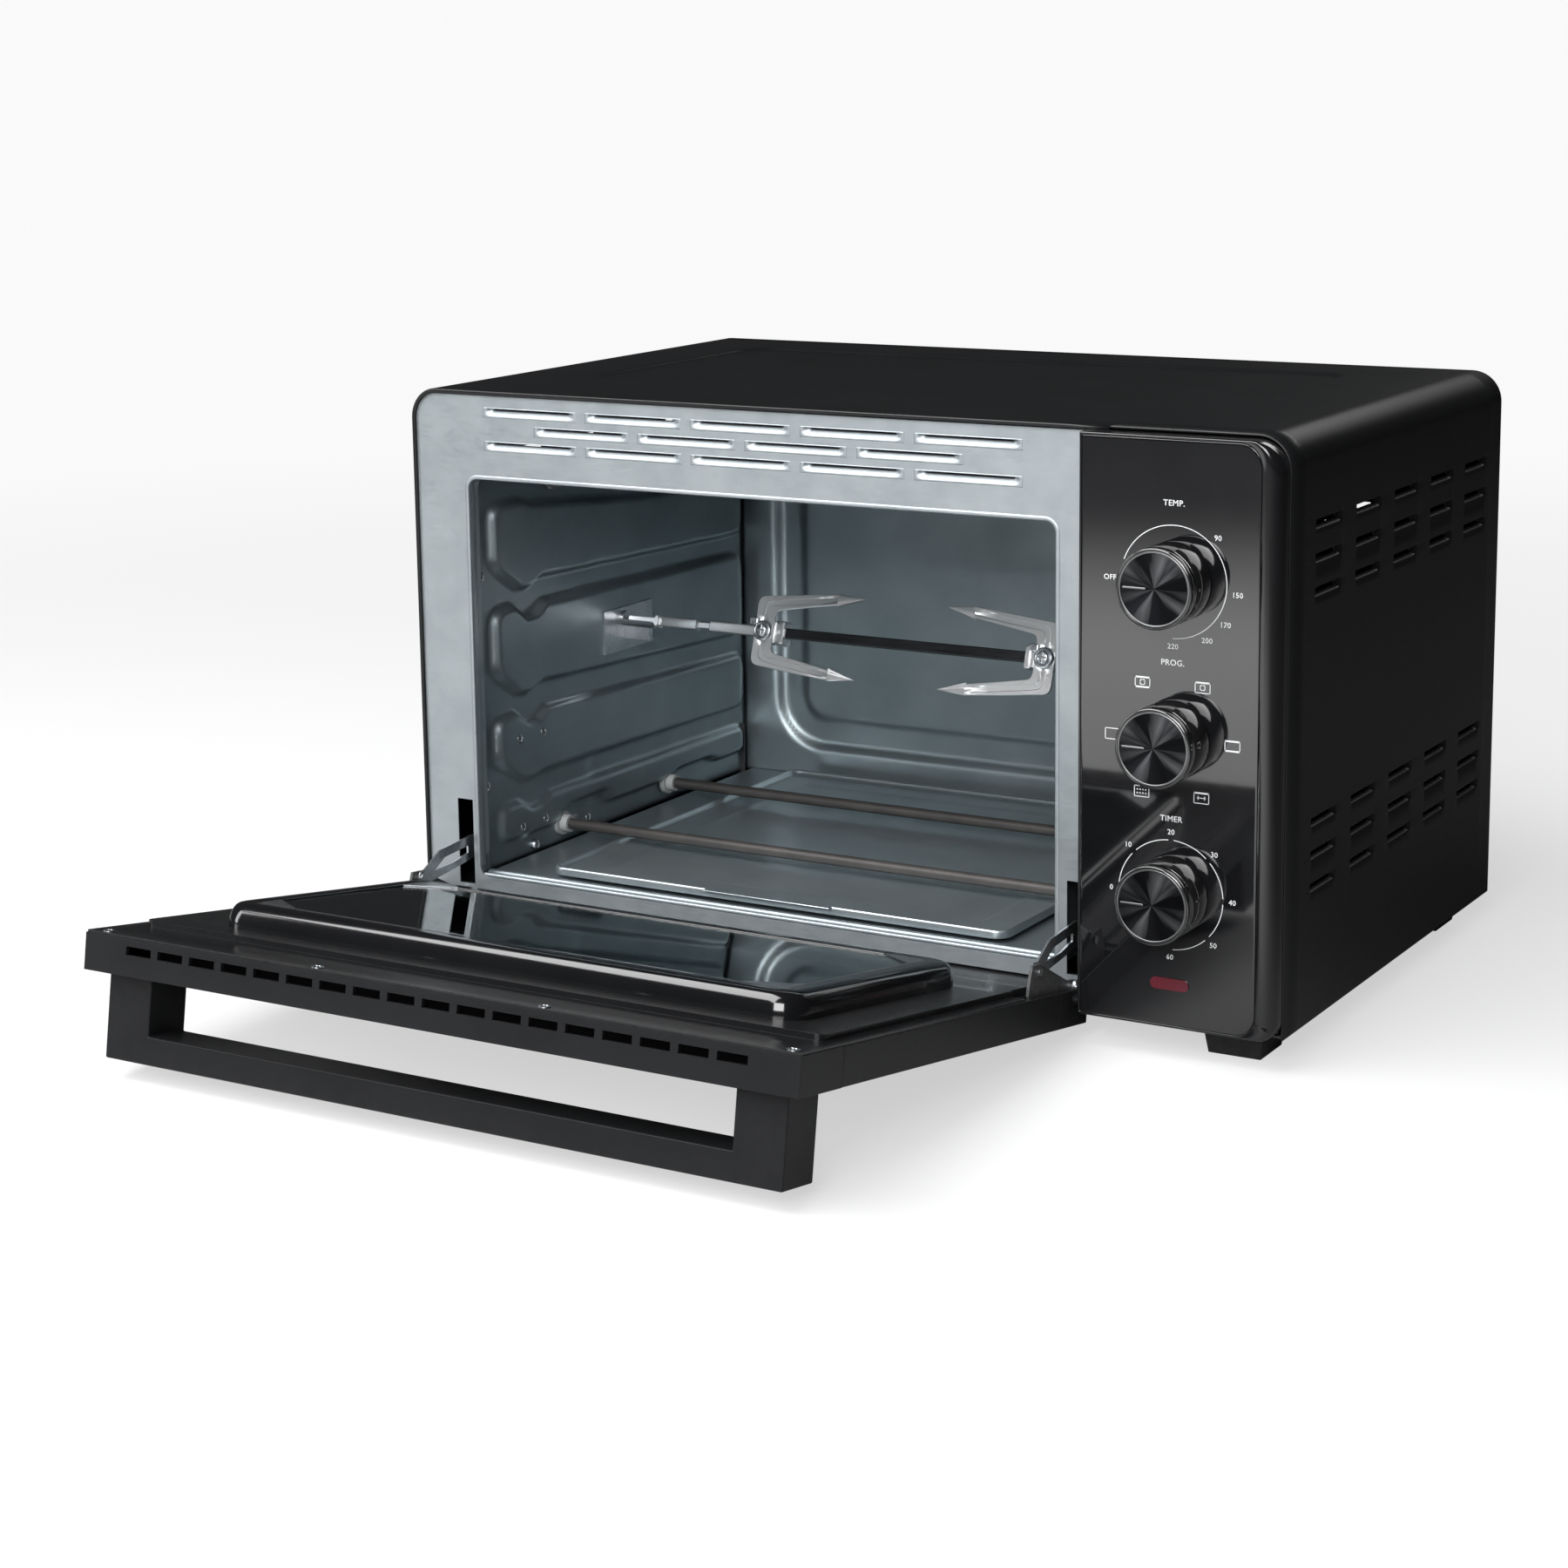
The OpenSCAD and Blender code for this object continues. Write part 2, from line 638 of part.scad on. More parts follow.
module spit_cradle() color("#d5d8da") {
    block([wall_x0, spit_y - 22, spit_z - 19], [wall_x0 + 1, spit_y + 30, spit_z + 7]);
    difference() {
        union() {
            bar_x(pin_d + 4, wall_x0 + 1, cradle_x, spit_y, spit_z);
            block([wall_x0 + 1, spit_y - 1, spit_z - 12], [cradle_x - 4, spit_y + 1, spit_z - 3]);
        }
        bar_x(pin_d + 2 * run_gap, wall_x0 + 2.5, cradle_x + cut, spit_y, spit_z);
        block([wall_x0 + 2.5, spit_y - 9, spit_z], [cradle_x + cut, spit_y + 9, spit_z + 9]);
    }
}

module spit_shaft() color("#3a3c3e") spit_frame() {
    block([cradle_x + 6, -spit_side / 2, -spit_side / 2], [spit_x1 + 4, spit_side / 2, spit_side / 2]);
    translate([wall_x0 + 4, 0, 0]) rotate([0, 90, 0]) cylinder(d = pin_d, h = cradle_x + 6 - wall_x0 - 4);
    translate([cradle_x + 1, 0, 0]) rotate([0, 90, 0]) cylinder(d = pin_d + 4, h = 3);
}

module drive_socket() color("#6d7276") spit_frame() {
    difference() {
        translate([wall_x1 - 10, 0, 0]) rotate([0, 90, 0]) cylinder(d = socket_d, h = 17);
        block([wall_x1 - 11, -spit_side / 2 - run_gap, -spit_side / 2 - run_gap],
            [spit_x1 + 4, spit_side / 2 + run_gap, spit_side / 2 + run_gap]);
    }
    translate([wall_x1 + 7, 0, 0]) rotate([0, 90, 0]) cylinder(d = boss_d, h = 11);
}

module spit_motor() color("#b7bbbe") difference() {
    union() {
        bar_x(50, motor_x, motor_x + 20, spit_y, spit_z);
        block([motor_x, spit_y - 8, spit_z - 31], [motor_x + 2, spit_y + 8, spit_z + 31]);
        for (z = [-28, 28]) bar_x(7, wall_x1 + liner, motor_x, spit_y, spit_z + z);
    }
    bar_x(boss_d + 2 * run_gap, motor_x - cut, motor_x + 11, spit_y, spit_z);
}

// Half of a fork's plate in X and Z: strap, splayed tine and a pointed tip with an inner barb
module fork_half() polygon([[0, -cut], [0, tine_r - 6.6], [1.2, tine_r - 4], [4, tine_r - 3],
    [tine_len - 17, tine_r + 1.7], [tine_len, tine_r], [tine_len - 17.5, tine_r - 5.8],
    [tine_len - 16.4, tine_r - 4.6], [strap_w + 3, tine_r - 10.6], [strap_w + 0.8, tine_r - 11.8],
    [strap_w, tine_r - 14], [strap_w, -cut]]);

// One fork: a flat C-shaped plate in front of the spit, on a hub that slides on the square spit.
// Its closed end is at x = 0 and its tines point along +X.
module fork() difference() {
    union() {
        along_y(-fork_face, -fork_face + fork_t) {
            fork_half();
            mirror([0, 1, 0]) fork_half();
        }
        block([0.6, -fork_face + fork_t / 2, -hub_half], [hub_len, hub_half, hub_half]);
    }
    block([-cut, -spit_side / 2 - run_gap, -spit_side / 2 - run_gap],
        [hub_len + cut, spit_side / 2 + run_gap, spit_side / 2 + run_gap]);
    bar_y(4 + 2 * run_gap, -fork_face - cut, 0, strap_w / 2, 0);
    for (side = [-1, 1]) translate([strap_w - 4, 0, side * (tine_r - 7.5)])
        rotate([0, -side * atan(4.7 / (tine_len - 21)), 0])
            translate([0, -fork_face - cut, -1.2]) cube([tine_len - 32, cut + 0.5, 2.4]);
}

// The fork's thumbscrew, which points at the spit from the front, its tip just clear of it.
// Its wing leans to the side that dir gives.
module thumbscrew(dir) translate([strap_w / 2, 0, 0]) {
    bar_y(4, -fork_face - 0.6, -spit_side / 2 - run_gap, 0, 0);
    bar_y(screw_head_d, -fork_face - 2.8, -fork_face - 0.1, 0, 0);
    bar_y(7, -fork_face - 3.8, -fork_face - 2.7, 0, 0);
    block([min(4 * dir, 9 * dir), -fork_face - 2.6, 3.5], [max(4 * dir, 9 * dir), -fork_face - 0.6, 7.5]);
}

module left_place() spit_frame() translate([fork_x[0], 0, 0]) children();
module right_place() spit_frame() translate([fork_x[1], 0, 0]) mirror([1, 0, 0]) children();

module fork_left() color("#d9dcde") left_place() fork();
module fork_right() color("#d9dcde") right_place() fork();
module thumbscrew_left() color("#c3c6c8") left_place() thumbscrew(-1);
module thumbscrew_right() color("#c3c6c8") right_place() thumbscrew(1);

module fan_housing() color("#8e989a") difference() {
    bar_x(fan_d + 12, wall_x1 + liner, wall_x1 + liner + fan_deep, fan_y, fan_z);
    bar_x(fan_d + 12 - 2 * fan_wall, wall_x1 - cut, wall_x1 + liner + fan_deep - fan_wall, fan_y, fan_z);
    bar_x(12, wall_x1, wall_x1 + liner + fan_deep + cut, fan_y, fan_z);
}

module fan_motor() color("#b7bbbe") {
    x = wall_x1 + liner + fan_deep;
    difference() {
        union() {
            bar_x(16, x, x + 8, fan_y, fan_z);
            bar_x(46, x + 8, x + 30, fan_y, fan_z);
        }
        bar_x(4 + 2 * run_gap, x - cut, x + 16, fan_y, fan_z);
    }
}

module fan_blade() color("#9ea3a6") {
    x = wall_x1 + liner + 6;
    bar_x(4, x, wall_x1 + liner + fan_deep + 14, fan_y, fan_z);
    translate([x, fan_y, fan_z]) rotate([0, 90, 0]) {
        cylinder(d = 20, h = 1.2);
        for (k = [0:7]) rotate([0, 0, k * 45]) translate([8, -0.6, 0]) cube([fan_d / 2 - 10, 1.2, 9]);
    }
}

// ---- wiring and inlet ----

module wiring_harness() color("#c8c3b4") {
    x = half_w - 18;
    for (z = [dial_z[0] + 8, dial_z[1] + 8, dial_z[2] + 8]) bar_y(4, control_y + 42, 190, x - 4, z);
    translate([x - 4, 190, 30]) cylinder(d = 7.5, h = dial_z[0] - 20);
    bar_y(5, 190, back_y - 34, x - 4, inlet[1] + 4);
}

module terminal_block() color("#e8e6df") {
    block([inlet[0] - 12, back_y - 30, sheet + 2], [inlet[0] + 30, back_y - 12, 22]);
    for (k = [0:2]) translate([inlet[0] - 2 + k * 14, back_y - 21, 22]) cylinder(d = 5, h = 1.5);
}

module cord_grommet() color("#101112") difference() {
    union() {
        bar_y(grommet_bore + 6 - 0.1, back_y - 4, back_y + sheet + 0.5, inlet[0], inlet[1]);
        bar_y(grommet_bore + 10, back_y + sheet + 0.05, back_y + sheet + 2.5, inlet[0], inlet[1]);
        bar_y(grommet_bore + 10, back_y - 4, back_y - 0.05, inlet[0], inlet[1]);
    }
    bar_y(grommet_bore, back_y - 5, back_y + sheet + 4, inlet[0], inlet[1]);
}

// ---- door ----

// The room that a hinge needs in the door's lower edge, clear of the fixed ear
module hinge_notches(y0 = -8.5)
    for (x = hinge_x) block([x - notch_w / 2, y0, door_low - cut], [x + notch_w / 2, 8, 8]);

// The slit that a hinge bracket passes through
module bracket_slits()
    for (x = hinge_x) block([x - 3.2, -12, -cut], [x + 3.2, 8, 56]);

module door_top_rail() color("#2d2f31") difference() {
    block([door_x0, face_y, door_top - top_rail_w], [door_x1, core_y, door_top]);
    block([door_x0 + rail_wall, face_y + rail_wall, door_top - top_rail_w + rail_wall],
        [door_x1 - rail_wall, core_y - rail_wall, door_top - rail_wall]);
    vents = floor((door_x1 - door_x0 - 30) / 20.1);
    for (k = [0:vents - 1])
        translate([(door_x0 + door_x1) / 2 + (k - (vents - 1) / 2) * 20.1, core_y - 6, door_top])
            cube([15.8, 4.3, 3 * rail_wall], center = true);
}

module door_side_rails() color("#2d2f31") difference() {
    for (x = [door_x0, door_x1 - side_rail_w])
        block([x, face_y, door_low + low_rail_w], [x + side_rail_w, core_y, door_top - top_rail_w]);
    bracket_slits();
}

module door_bottom_rail() color("#2d2f31") difference() {
    block([door_x0, face_y, door_low], [door_x1, core_y, door_low + low_rail_w]);
    block([door_x0 + rail_wall, face_y + rail_wall, door_low + rail_wall],
        [door_x1 - rail_wall, core_y - rail_wall, door_low + low_rail_w - rail_wall]);
    hinge_notches();
    bracket_slits();
}

module door_glass_outer() color("#101418", 0.6)
    block([door_x0 + side_rail_w + fit_gap, face_y + 0.5, door_low + low_rail_w + fit_gap],
        [door_x1 - side_rail_w - fit_gap, face_y + 4.5, door_top - top_rail_w - fit_gap]);

module door_inner_panel() color("#101113") difference() {
    union() {
        block([door_x0 + 0.6, core_y, door_low + 0.6], [door_x1 - 0.6, skin_y, door_top - 0.6]);
        along_y(core_y, skin_y + land_h)
            flat(door_x0 + land_in, land_low, door_x1 - land_in, land_top, 6);
    }
    along_y(core_y - cut, skin_y + land_h - skin)
        flat(door_x0 + land_in + skin, land_low + skin, door_x1 - land_in - skin, land_top - skin, 5);
    along_y(core_y - cut, skin_y + land_h + cut)
        flat(ring_x0 + 3, ring_z0 + 3, ring_x1 - 3, ring_z1 - 3, ring_r - 3);
    hinge_notches(core_y - cut);
    for (x = hinge_x) block([x - slot_w / 2 + 0.5, core_y - cut, 0], [x + slot_w / 2 - 0.5, 8, 62]);
    for (x = [0:3]) bar_y(6.2, -cut, cut + skin_y, door_screw_x(x), door_top - 5);
}

// Across position of the k-th screw along the door's upper edge
function door_screw_x(k) = door_x0 + 10.6 + k * (door_x1 - door_x0 - 17.6) / 3;

module door_window_ring() color("#0a0b0c") {
    base = skin_y + land_h;
    difference() {
        union() {
            along_y(base, ring_top) flat(ring_x0, ring_z0, ring_x1, ring_z1, ring_r);
            along_y(core_y + 0.5, base + 0.01)
                flat(ring_x0 + tongue_in, ring_z0 + tongue_in, ring_x1 - tongue_in, ring_z1 - tongue_in,
                    ring_r - 3);
        }
        along_y(core_y - cut, ring_top - 5)
            flat(ring_x0 + 5, ring_z0 + 5, ring_x1 - 5, ring_z1 - 5, ring_r - 5);
        along_y(0, ring_top + cut)
            flat(ring_x0 + ring_w, ring_z0 + ring_w, ring_x1 - ring_w, ring_z1 - ring_w, 4);
        along_y(ring_top - glass_t - 0.8, ring_top + cut)
            flat(ring_x0 + ring_w - 3, ring_z0 + ring_w - 3, ring_x1 - ring_w + 3, ring_z1 - ring_w + 3, 5);
    }
}

module door_glass_inner() color("#9fb0b4", 0.35)
    along_y(ring_top - glass_t - 0.75, ring_top - 0.8)
        flat(ring_x0 + pane_edge, ring_z0 + pane_edge, ring_x1 - pane_edge, ring_z1 - pane_edge, 4.7);

module glass_clips() color("#d0d4d6")
    for (x = [ring_x0 + ring_w + 2, ring_x1 - ring_w - 2], z = [ring_z0 + ring_w + 2, ring_z1 - ring_w - 2]) {
        dx = x > mouth_mid ? -1 : 1;
        dz = z > (ring_z0 + ring_z1) / 2 ? -1 : 1;
        along_y(ring_top - 0.75, ring_top - 0.05)
            polygon([[x - dx * 3, z - dz * 3], [x + dx * 22, z - dz * 3], [x - dx * 3, z + dz * 16]]);
    }

module door_handle() color("#2f3133") {
    for (x = [door_x0 + handle_in, door_x1 - handle_in - handle_leg])
        block([x, handle_low, handle_s0], [x + handle_leg, face_y, handle_s1]);
    block([door_x0 + handle_in, handle_low, handle_s0],
        [door_x1 - handle_in, handle_low + handle_bar, handle_s1]);
}

module door_screws() color("#9a9ea1")
    for (k = [0:3]) bar_y(6, core_y, skin_y + 0.2, door_screw_x(k), door_top - 5);

// ---- hinges ----

// side = -1 for the left hinge, whose ear is on the outside, and 1 for the right
module hinge_seats() color("#9a9ea1")
    for (k = [0, 1]) {
        dir = k == 0 ? -1 : 1;
        x = hinge_x[k] + dir * (plate_t / 2 + 0.2);
        x0 = min(x, x + dir * ear_t);
        translate([0, -hinge_y, hinge_z]) difference() {
            union() {
                bar_x(2 * ear_r, x0, x0 + ear_t, 0, 0);
                block([x0, 0, -ear_r], [x0 + ear_t, hinge_y + tail_y - 0.05, 0.6]);
                block([hinge_x[k] - 6, hinge_y + tail_y - 1.6, -ear_r - 5],
                    [hinge_x[k] + (k == 0 ? 6 : 4), hinge_y + tail_y - 0.05, 0.6]);
            }
            bar_x(hinge_pin_d + 2 * run_gap, x0 - cut, x0 + ear_t + cut, 0, 0);
        }
    }

module bracket_plate() difference() {
    union() {
        circle(ear_r);
        polygon([[-ear_r, 0], [-10, 12], [-10, 46], [0, 52.5], [4, 52.5], [15, 50.5], [15.5, 42],
            [ear_r, 8], [ear_r, 0]]);
    }
    circle(d = hinge_pin_d);
    translate([pivot_y, pivot_z]) circle(d = pivot_d);
}

module hinge_brackets() color("#26282a") on_door()
    for (x = hinge_x) along_x(x - plate_t / 2, x + plate_t / 2) bracket_plate();

// Hinge pins and lever rivets: all fast in the brackets
module hinge_pins() color("#b4b8ba") on_door()
    for (k = [0, 1]) {
        dir = k == 0 ? -1 : 1;
        x = hinge_x[k];
        a = x - dir * (plate_t / 2 + 1);
        b = x + dir * (plate_t / 2 + 0.2 + ear_t + 0.3);
        bar_x(hinge_pin_d, min(a, b), max(a, b), 0, 0);
        c = x + dir * (plate_t / 2 + 1);
        e = x - dir * (plate_t / 2 + 0.2 + lever_t + 0.2);
        bar_x(pivot_d, min(c, e), max(c, e), pivot_y, pivot_z);
        f = e - dir * 0.8;
        bar_x(pivot_d + 3, min(e, f), max(e, f), pivot_y, pivot_z);
    }

// The plane of a hinge's lever, and of the spring behind it
function lever_x(k) = hinge_x[k] - (k == 0 ? -1 : 1) * (plate_t / 2 + 0.2 + lever_t / 2);

// The forked lever: a plate that leads from the door's rivet through the slot to the spring
module lever(k) {
    x0 = lever_x(k) - lever_t / 2;
    x1 = x0 + lever_t;
    translate([0, pivot_at[0], pivot_at[1]]) difference() {
        union() {
            bar_x(9.2, x0, x1, 0, 0);
            bar_x(8, x0, x1, 72, 8);
            along_x(x0, x1)
                polygon([[0, 4], [16, 12.5], [45, 14.5], [70, 11.5], [70, 4.5], [46, 1], [30, -1], [0, -4]]);
        }
        bar_x(pivot_d + 2 * run_gap, x0 - cut, x1 + cut, 0, 0);
        along_x(x0 - cut, x1 + cut) polygon([[10, 2], [20, 7.5], [42, 9], [42, 5], [28, 2.5]]);
        bar_x(3.4, x0 - cut, x1 + cut, 72, 8);
    }
}

module hinge_lever_left() color("#c4c9cb") lever(0);
module hinge_lever_right() color("#c4c9cb") lever(1);

// Door springs at their shortest: coil, front hook and the wire to the lug on the base
module door_springs() color("#9fa4a7")
    for (k = [0, 1]) {
        bar_y(wire_d, spring_y0 - 14, spring_y0 + 1, lever_x(k), spring_z);
        bar_y(wire_d, spring_y1 - 1, lug_y + 4, lever_x(k), spring_z);
        difference() {
            bar_y(8, spring_y0, spring_y1, lever_x(k), spring_z);
            bar_y(5.4, spring_y0 + 1.2, spring_y1 - 1.2, lever_x(k), spring_z);
        }
    }

// ---- the oven ----
seated() outer_case();
seated() back_panel();
seated() base_pan();
seated() front_frame();
seated() chamber_left_wall();
seated() chamber_right_wall();
seated() chamber_top();
seated() chamber_back();
seated() chamber_floor();
seated() crumb_tray();
seated() heater_rods();
seated() heater_bushes();
seated() control_fascia();
seated() panel_glass();
seated() indicator_lens();
seated() indicator_lamp();
seated() thermostat();
seated() function_switch();
seated() timer_mechanism();
seated() spit_motor();
seated() fan_housing();
seated() fan_motor();
seated() spit_cradle();
seated() feet();
seated() case_screws();
seated() chamber_rivets();
seated() hinge_seats();
seated() door_springs();
seated() wiring_harness();
seated() terminal_block();
seated() cord_grommet();
seated() on_door() door_top_rail();
seated() on_door() door_side_rails();
seated() on_door() door_bottom_rail();
seated() on_door() door_glass_outer();
seated() on_door() door_inner_panel();
seated() on_door() door_window_ring();
seated() on_door() door_glass_inner();
seated() on_door() glass_clips();
seated() on_door() door_handle();
seated() on_door() door_screws();
seated() hinge_brackets();
seated() hinge_pins();
seated() hinge_lever_left();
seated() hinge_lever_right();
seated() temp_knob();
seated() program_knob();
seated() timer_knob();
seated() temp_knob_cap();
seated() program_knob_cap();
seated() timer_knob_cap();
seated() spit_shaft();
seated() drive_socket();
seated() fork_left();
seated() fork_right();
seated() thumbscrew_left();
seated() thumbscrew_right();
seated() fan_blade();
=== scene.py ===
"""Finished looks of a countertop rotisserie oven.

The oven has a black pressed case, a zinc-coated front, a steel chamber with a spit, a gloss
control panel and a drop-down glass door. Every size is in millimetres in the oven's own axes:
X across the front, Y back from the front sheet and Z up from the case's base. A Place carries
such points to the shared frame in metres.
"""

import json
import logging
import math
from dataclasses import dataclass
from enum import Enum

import bmesh
import bpy
import numpy as np
from mathutils import Matrix, Vector


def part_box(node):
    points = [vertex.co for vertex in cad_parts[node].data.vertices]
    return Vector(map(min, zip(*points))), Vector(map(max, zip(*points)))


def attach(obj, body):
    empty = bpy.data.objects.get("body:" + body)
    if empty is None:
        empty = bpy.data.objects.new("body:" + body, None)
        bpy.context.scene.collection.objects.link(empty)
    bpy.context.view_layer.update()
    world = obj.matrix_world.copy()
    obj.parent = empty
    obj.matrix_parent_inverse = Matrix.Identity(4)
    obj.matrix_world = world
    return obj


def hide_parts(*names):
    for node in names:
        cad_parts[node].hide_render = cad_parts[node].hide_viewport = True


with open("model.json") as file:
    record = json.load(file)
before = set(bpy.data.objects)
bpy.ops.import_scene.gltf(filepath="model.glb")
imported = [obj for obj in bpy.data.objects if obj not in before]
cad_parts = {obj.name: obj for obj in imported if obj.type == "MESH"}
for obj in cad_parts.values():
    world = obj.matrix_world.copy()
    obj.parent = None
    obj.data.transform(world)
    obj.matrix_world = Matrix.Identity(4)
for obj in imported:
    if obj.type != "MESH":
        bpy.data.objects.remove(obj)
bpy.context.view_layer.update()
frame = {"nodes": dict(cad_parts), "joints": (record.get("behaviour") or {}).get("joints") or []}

MM = 0.001
LOG = logging.getLogger("oven")


# ---- places -------------------------------------------------------------------------------


@dataclass(frozen=True)
class Place:
    """Where a sub-assembly's own axes stand in the shared frame.

    Its origin is in metres, and turn is the angle about X by which its axes are tilted.
    """

    origin: tuple[float, float, float]
    turn: float = 0.0

    def __call__(self, points: np.ndarray) -> np.ndarray:
        """Turns points about X, scales them to metres and moves them to the origin.

        Args:
            points: Millimetres in the sub-assembly's axes, any shape that ends in 3.

        Returns:
            The same points in metres in the shared frame.
        """
        c, s = math.cos(self.turn), math.sin(self.turn)
        matrix = np.array([[1, 0, 0], [0, c, -s], [0, s, c]])
        return np.asarray(points, float) @ matrix.T * MM + np.array(self.origin)


def case_place() -> Place:
    """Gives the case's axes: on the front sheet's plane and at the case's lower edge."""
    return Place((0.0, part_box("front_frame")[0].y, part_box("outer_case")[0].z))


def door_place() -> Place:
    """Gives the door's axes on its hinge: Y out of the inner skin, Z up the closed door."""
    hinge = next(j for j in frame["joints"] if j["name"] == "door_hinge")
    return Place(tuple(hinge["pos_m"]), math.radians(hinge["range_deg"][1]))


def spit_place(rest: float) -> Place:
    """Gives the spit's axes.

    Args:
        rest: Degrees by which the spit stands turned at rest.

    Returns:
        A place on the spit's own line, with X along it.
    """
    low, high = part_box("spit_shaft")
    return Place((0.0, (low.y + high.y) / 2, (low.z + high.z) / 2), math.radians(-rest))


CASE = case_place()
DOOR = door_place()


def own_box(node: str) -> tuple[np.ndarray, np.ndarray]:
    """Gives a node's lowest and highest corners in the case's axes, in millimetres."""
    low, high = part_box(node)
    origin = np.array(CASE.origin)
    return (np.array(low) - origin) / MM, (np.array(high) - origin) / MM


# ---- curves and surfaces as whole arrays ---------------------------------------------------


def ease(t: np.ndarray) -> np.ndarray:
    """Rises from 0 to 1 as three t squared less two t cubed, with t held to 0 and 1."""
    t = np.clip(t, 0.0, 1.0)
    return t * t * (3.0 - 2.0 * t)


def ramp(t: np.ndarray, low: float, high: float) -> np.ndarray:
    """Gives the eased share of the way that t is from low to high."""
    return ease((np.asarray(t, float) - low) / (high - low))


def inside(u: np.ndarray, v: np.ndarray, box: tuple, radius: float) -> np.ndarray:
    """Gives how far points lie inside a rectangle with round corners.

    The distance is the corner radius less the distance from the rectangle shrunk by that
    radius, so it is negative outside.

    Args:
        u: First coordinates.
        v: Second coordinates.
        box: The rectangle as (u0, v0, u1, v1).
        radius: Its corner radius.

    Returns:
        An array of distances.
    """
    u0, v0, u1, v1 = box
    qu = np.abs(u - (u0 + u1) / 2) - ((u1 - u0) / 2 - radius)
    qv = np.abs(v - (v0 + v1) / 2) - ((v1 - v0) / 2 - radius)
    out = np.hypot(np.maximum(qu, 0), np.maximum(qv, 0)) + np.minimum(np.maximum(qu, qv), 0)
    return radius - out


def lines(*stops: float, step: float) -> np.ndarray:
    """Gives grid lines that pass through every stop and are at most step apart.

    Args:
        stops: Rising positions that have to be on a line.
        step: The widest spacing.

    Returns:
        The rising positions of the lines.
    """
    runs = [np.linspace(a, b, max(2, math.ceil((b - a) / step) + 1))[:-1]
            for a, b in zip(stops, stops[1:])]
    return np.append(np.concatenate(runs), stops[-1])


def merged(*sets: np.ndarray, apart: float = 0.05) -> np.ndarray:
    """Joins sets of grid lines and drops those closer together than apart."""
    every = np.sort(np.concatenate([np.atleast_1d(s) for s in sets]))
    return every[np.concatenate([[True], np.diff(every) > apart])]


def loop(box: tuple, radii: float | tuple, steps: int = 10) -> np.ndarray:
    """Gives a rectangle's outline with round corners, anticlockwise from its lower right.

    Each corner is an arc of steps + 1 points about its own centre, so two loops with the same
    steps match point for point.

    Args:
        box: The rectangle as (u0, v0, u1, v1).
        radii: One radius, or those of the corners right low, right high, left high, left low.
        steps: Segments in each corner.

    Returns:
        An array of (u, v) points.
    """
    u0, v0, u1, v1 = box
    radii = (radii,) * 4 if isinstance(radii, (int, float)) else radii
    arc = np.linspace(0, math.pi / 2, steps + 1)
    made = []
    for k, (u, v, su, sv) in enumerate([(u1, v0, -1, 1), (u1, v1, -1, -1), (u0, v1, 1, -1),
                                        (u0, v0, 1, 1)]):
        angle = arc + (k - 1) * math.pi / 2
        centre = np.array([u + su * radii[k], v + sv * radii[k]])
        made.append(centre + radii[k] * np.stack([np.cos(angle), np.sin(angle)], -1))
    return np.concatenate(made)


@dataclass
class Patch:
    """Part of a surface: points in millimetres, and four corners for each face."""

    points: np.ndarray
    quads: np.ndarray

    @classmethod
    def grid(cls, points: np.ndarray, closed: tuple[bool, bool] = (False, False),
             keep: np.ndarray | None = None) -> "Patch":
        """Joins a grid of points into faces.

        Args:
            points: An array of rows by columns by 3.
            closed: Whether the last row meets the first, and the last column the first.
            keep: Which faces stay, rows by columns, or all of them.

        Returns:
            The patch.
        """
        rows, cols = points.shape[:2]
        i = np.arange(rows if closed[0] else rows - 1)[:, None]
        j = np.arange(cols if closed[1] else cols - 1)[None, :]
        i1, j1 = (i + 1) % rows, (j + 1) % cols
        quads = np.stack([i * cols + j, i1 * cols + j, i1 * cols + j1, i * cols + j1], -1)
        quads = quads.reshape(-1, 4) if keep is None else quads[keep]
        return cls(points.reshape(-1, 3), quads)

    def __add__(self, other: "Patch") -> "Patch":
        """Sets another patch beside this one."""
        return Patch(np.concatenate([self.points, other.points]),
                     np.concatenate([self.quads, other.quads + len(self.points)]))

    def flipped(self) -> "Patch":
        """Turns every face over."""
        return Patch(self.points, self.quads[:, ::-1])

    def shifted(self, offset: tuple) -> "Patch":
        """Moves the patch by an offset in millimetres."""
        return Patch(self.points + np.array(offset, float), self.quads)


def together(patches: list[Patch]) -> Patch:
    """Sets many patches side by side as one."""
    starts = np.cumsum([0] + [len(p.points) for p in patches[:-1]])
    return Patch(np.concatenate([p.points for p in patches]),
                 np.concatenate([p.quads + s for p, s in zip(patches, starts)]))


def nest(outlines: list[np.ndarray], heights: list, closed: bool = False) -> Patch:
    """Carries a profile round an outline: matched loops in X and Z, each at its own Y.

    Args:
        outlines: Loops of (x, z) points, all of one length.
        heights: The Y of each loop, a number or an array along the loop.
        closed: Whether the last loop joins the first, which makes a solid ring.

    Returns:
        The patch.
    """
    rows = [np.stack([o[:, 0], np.zeros(len(o)) + h, o[:, 1]], -1)
            for o, h in zip(outlines, heights)]
    return Patch.grid(np.stack(rows), (closed, True))


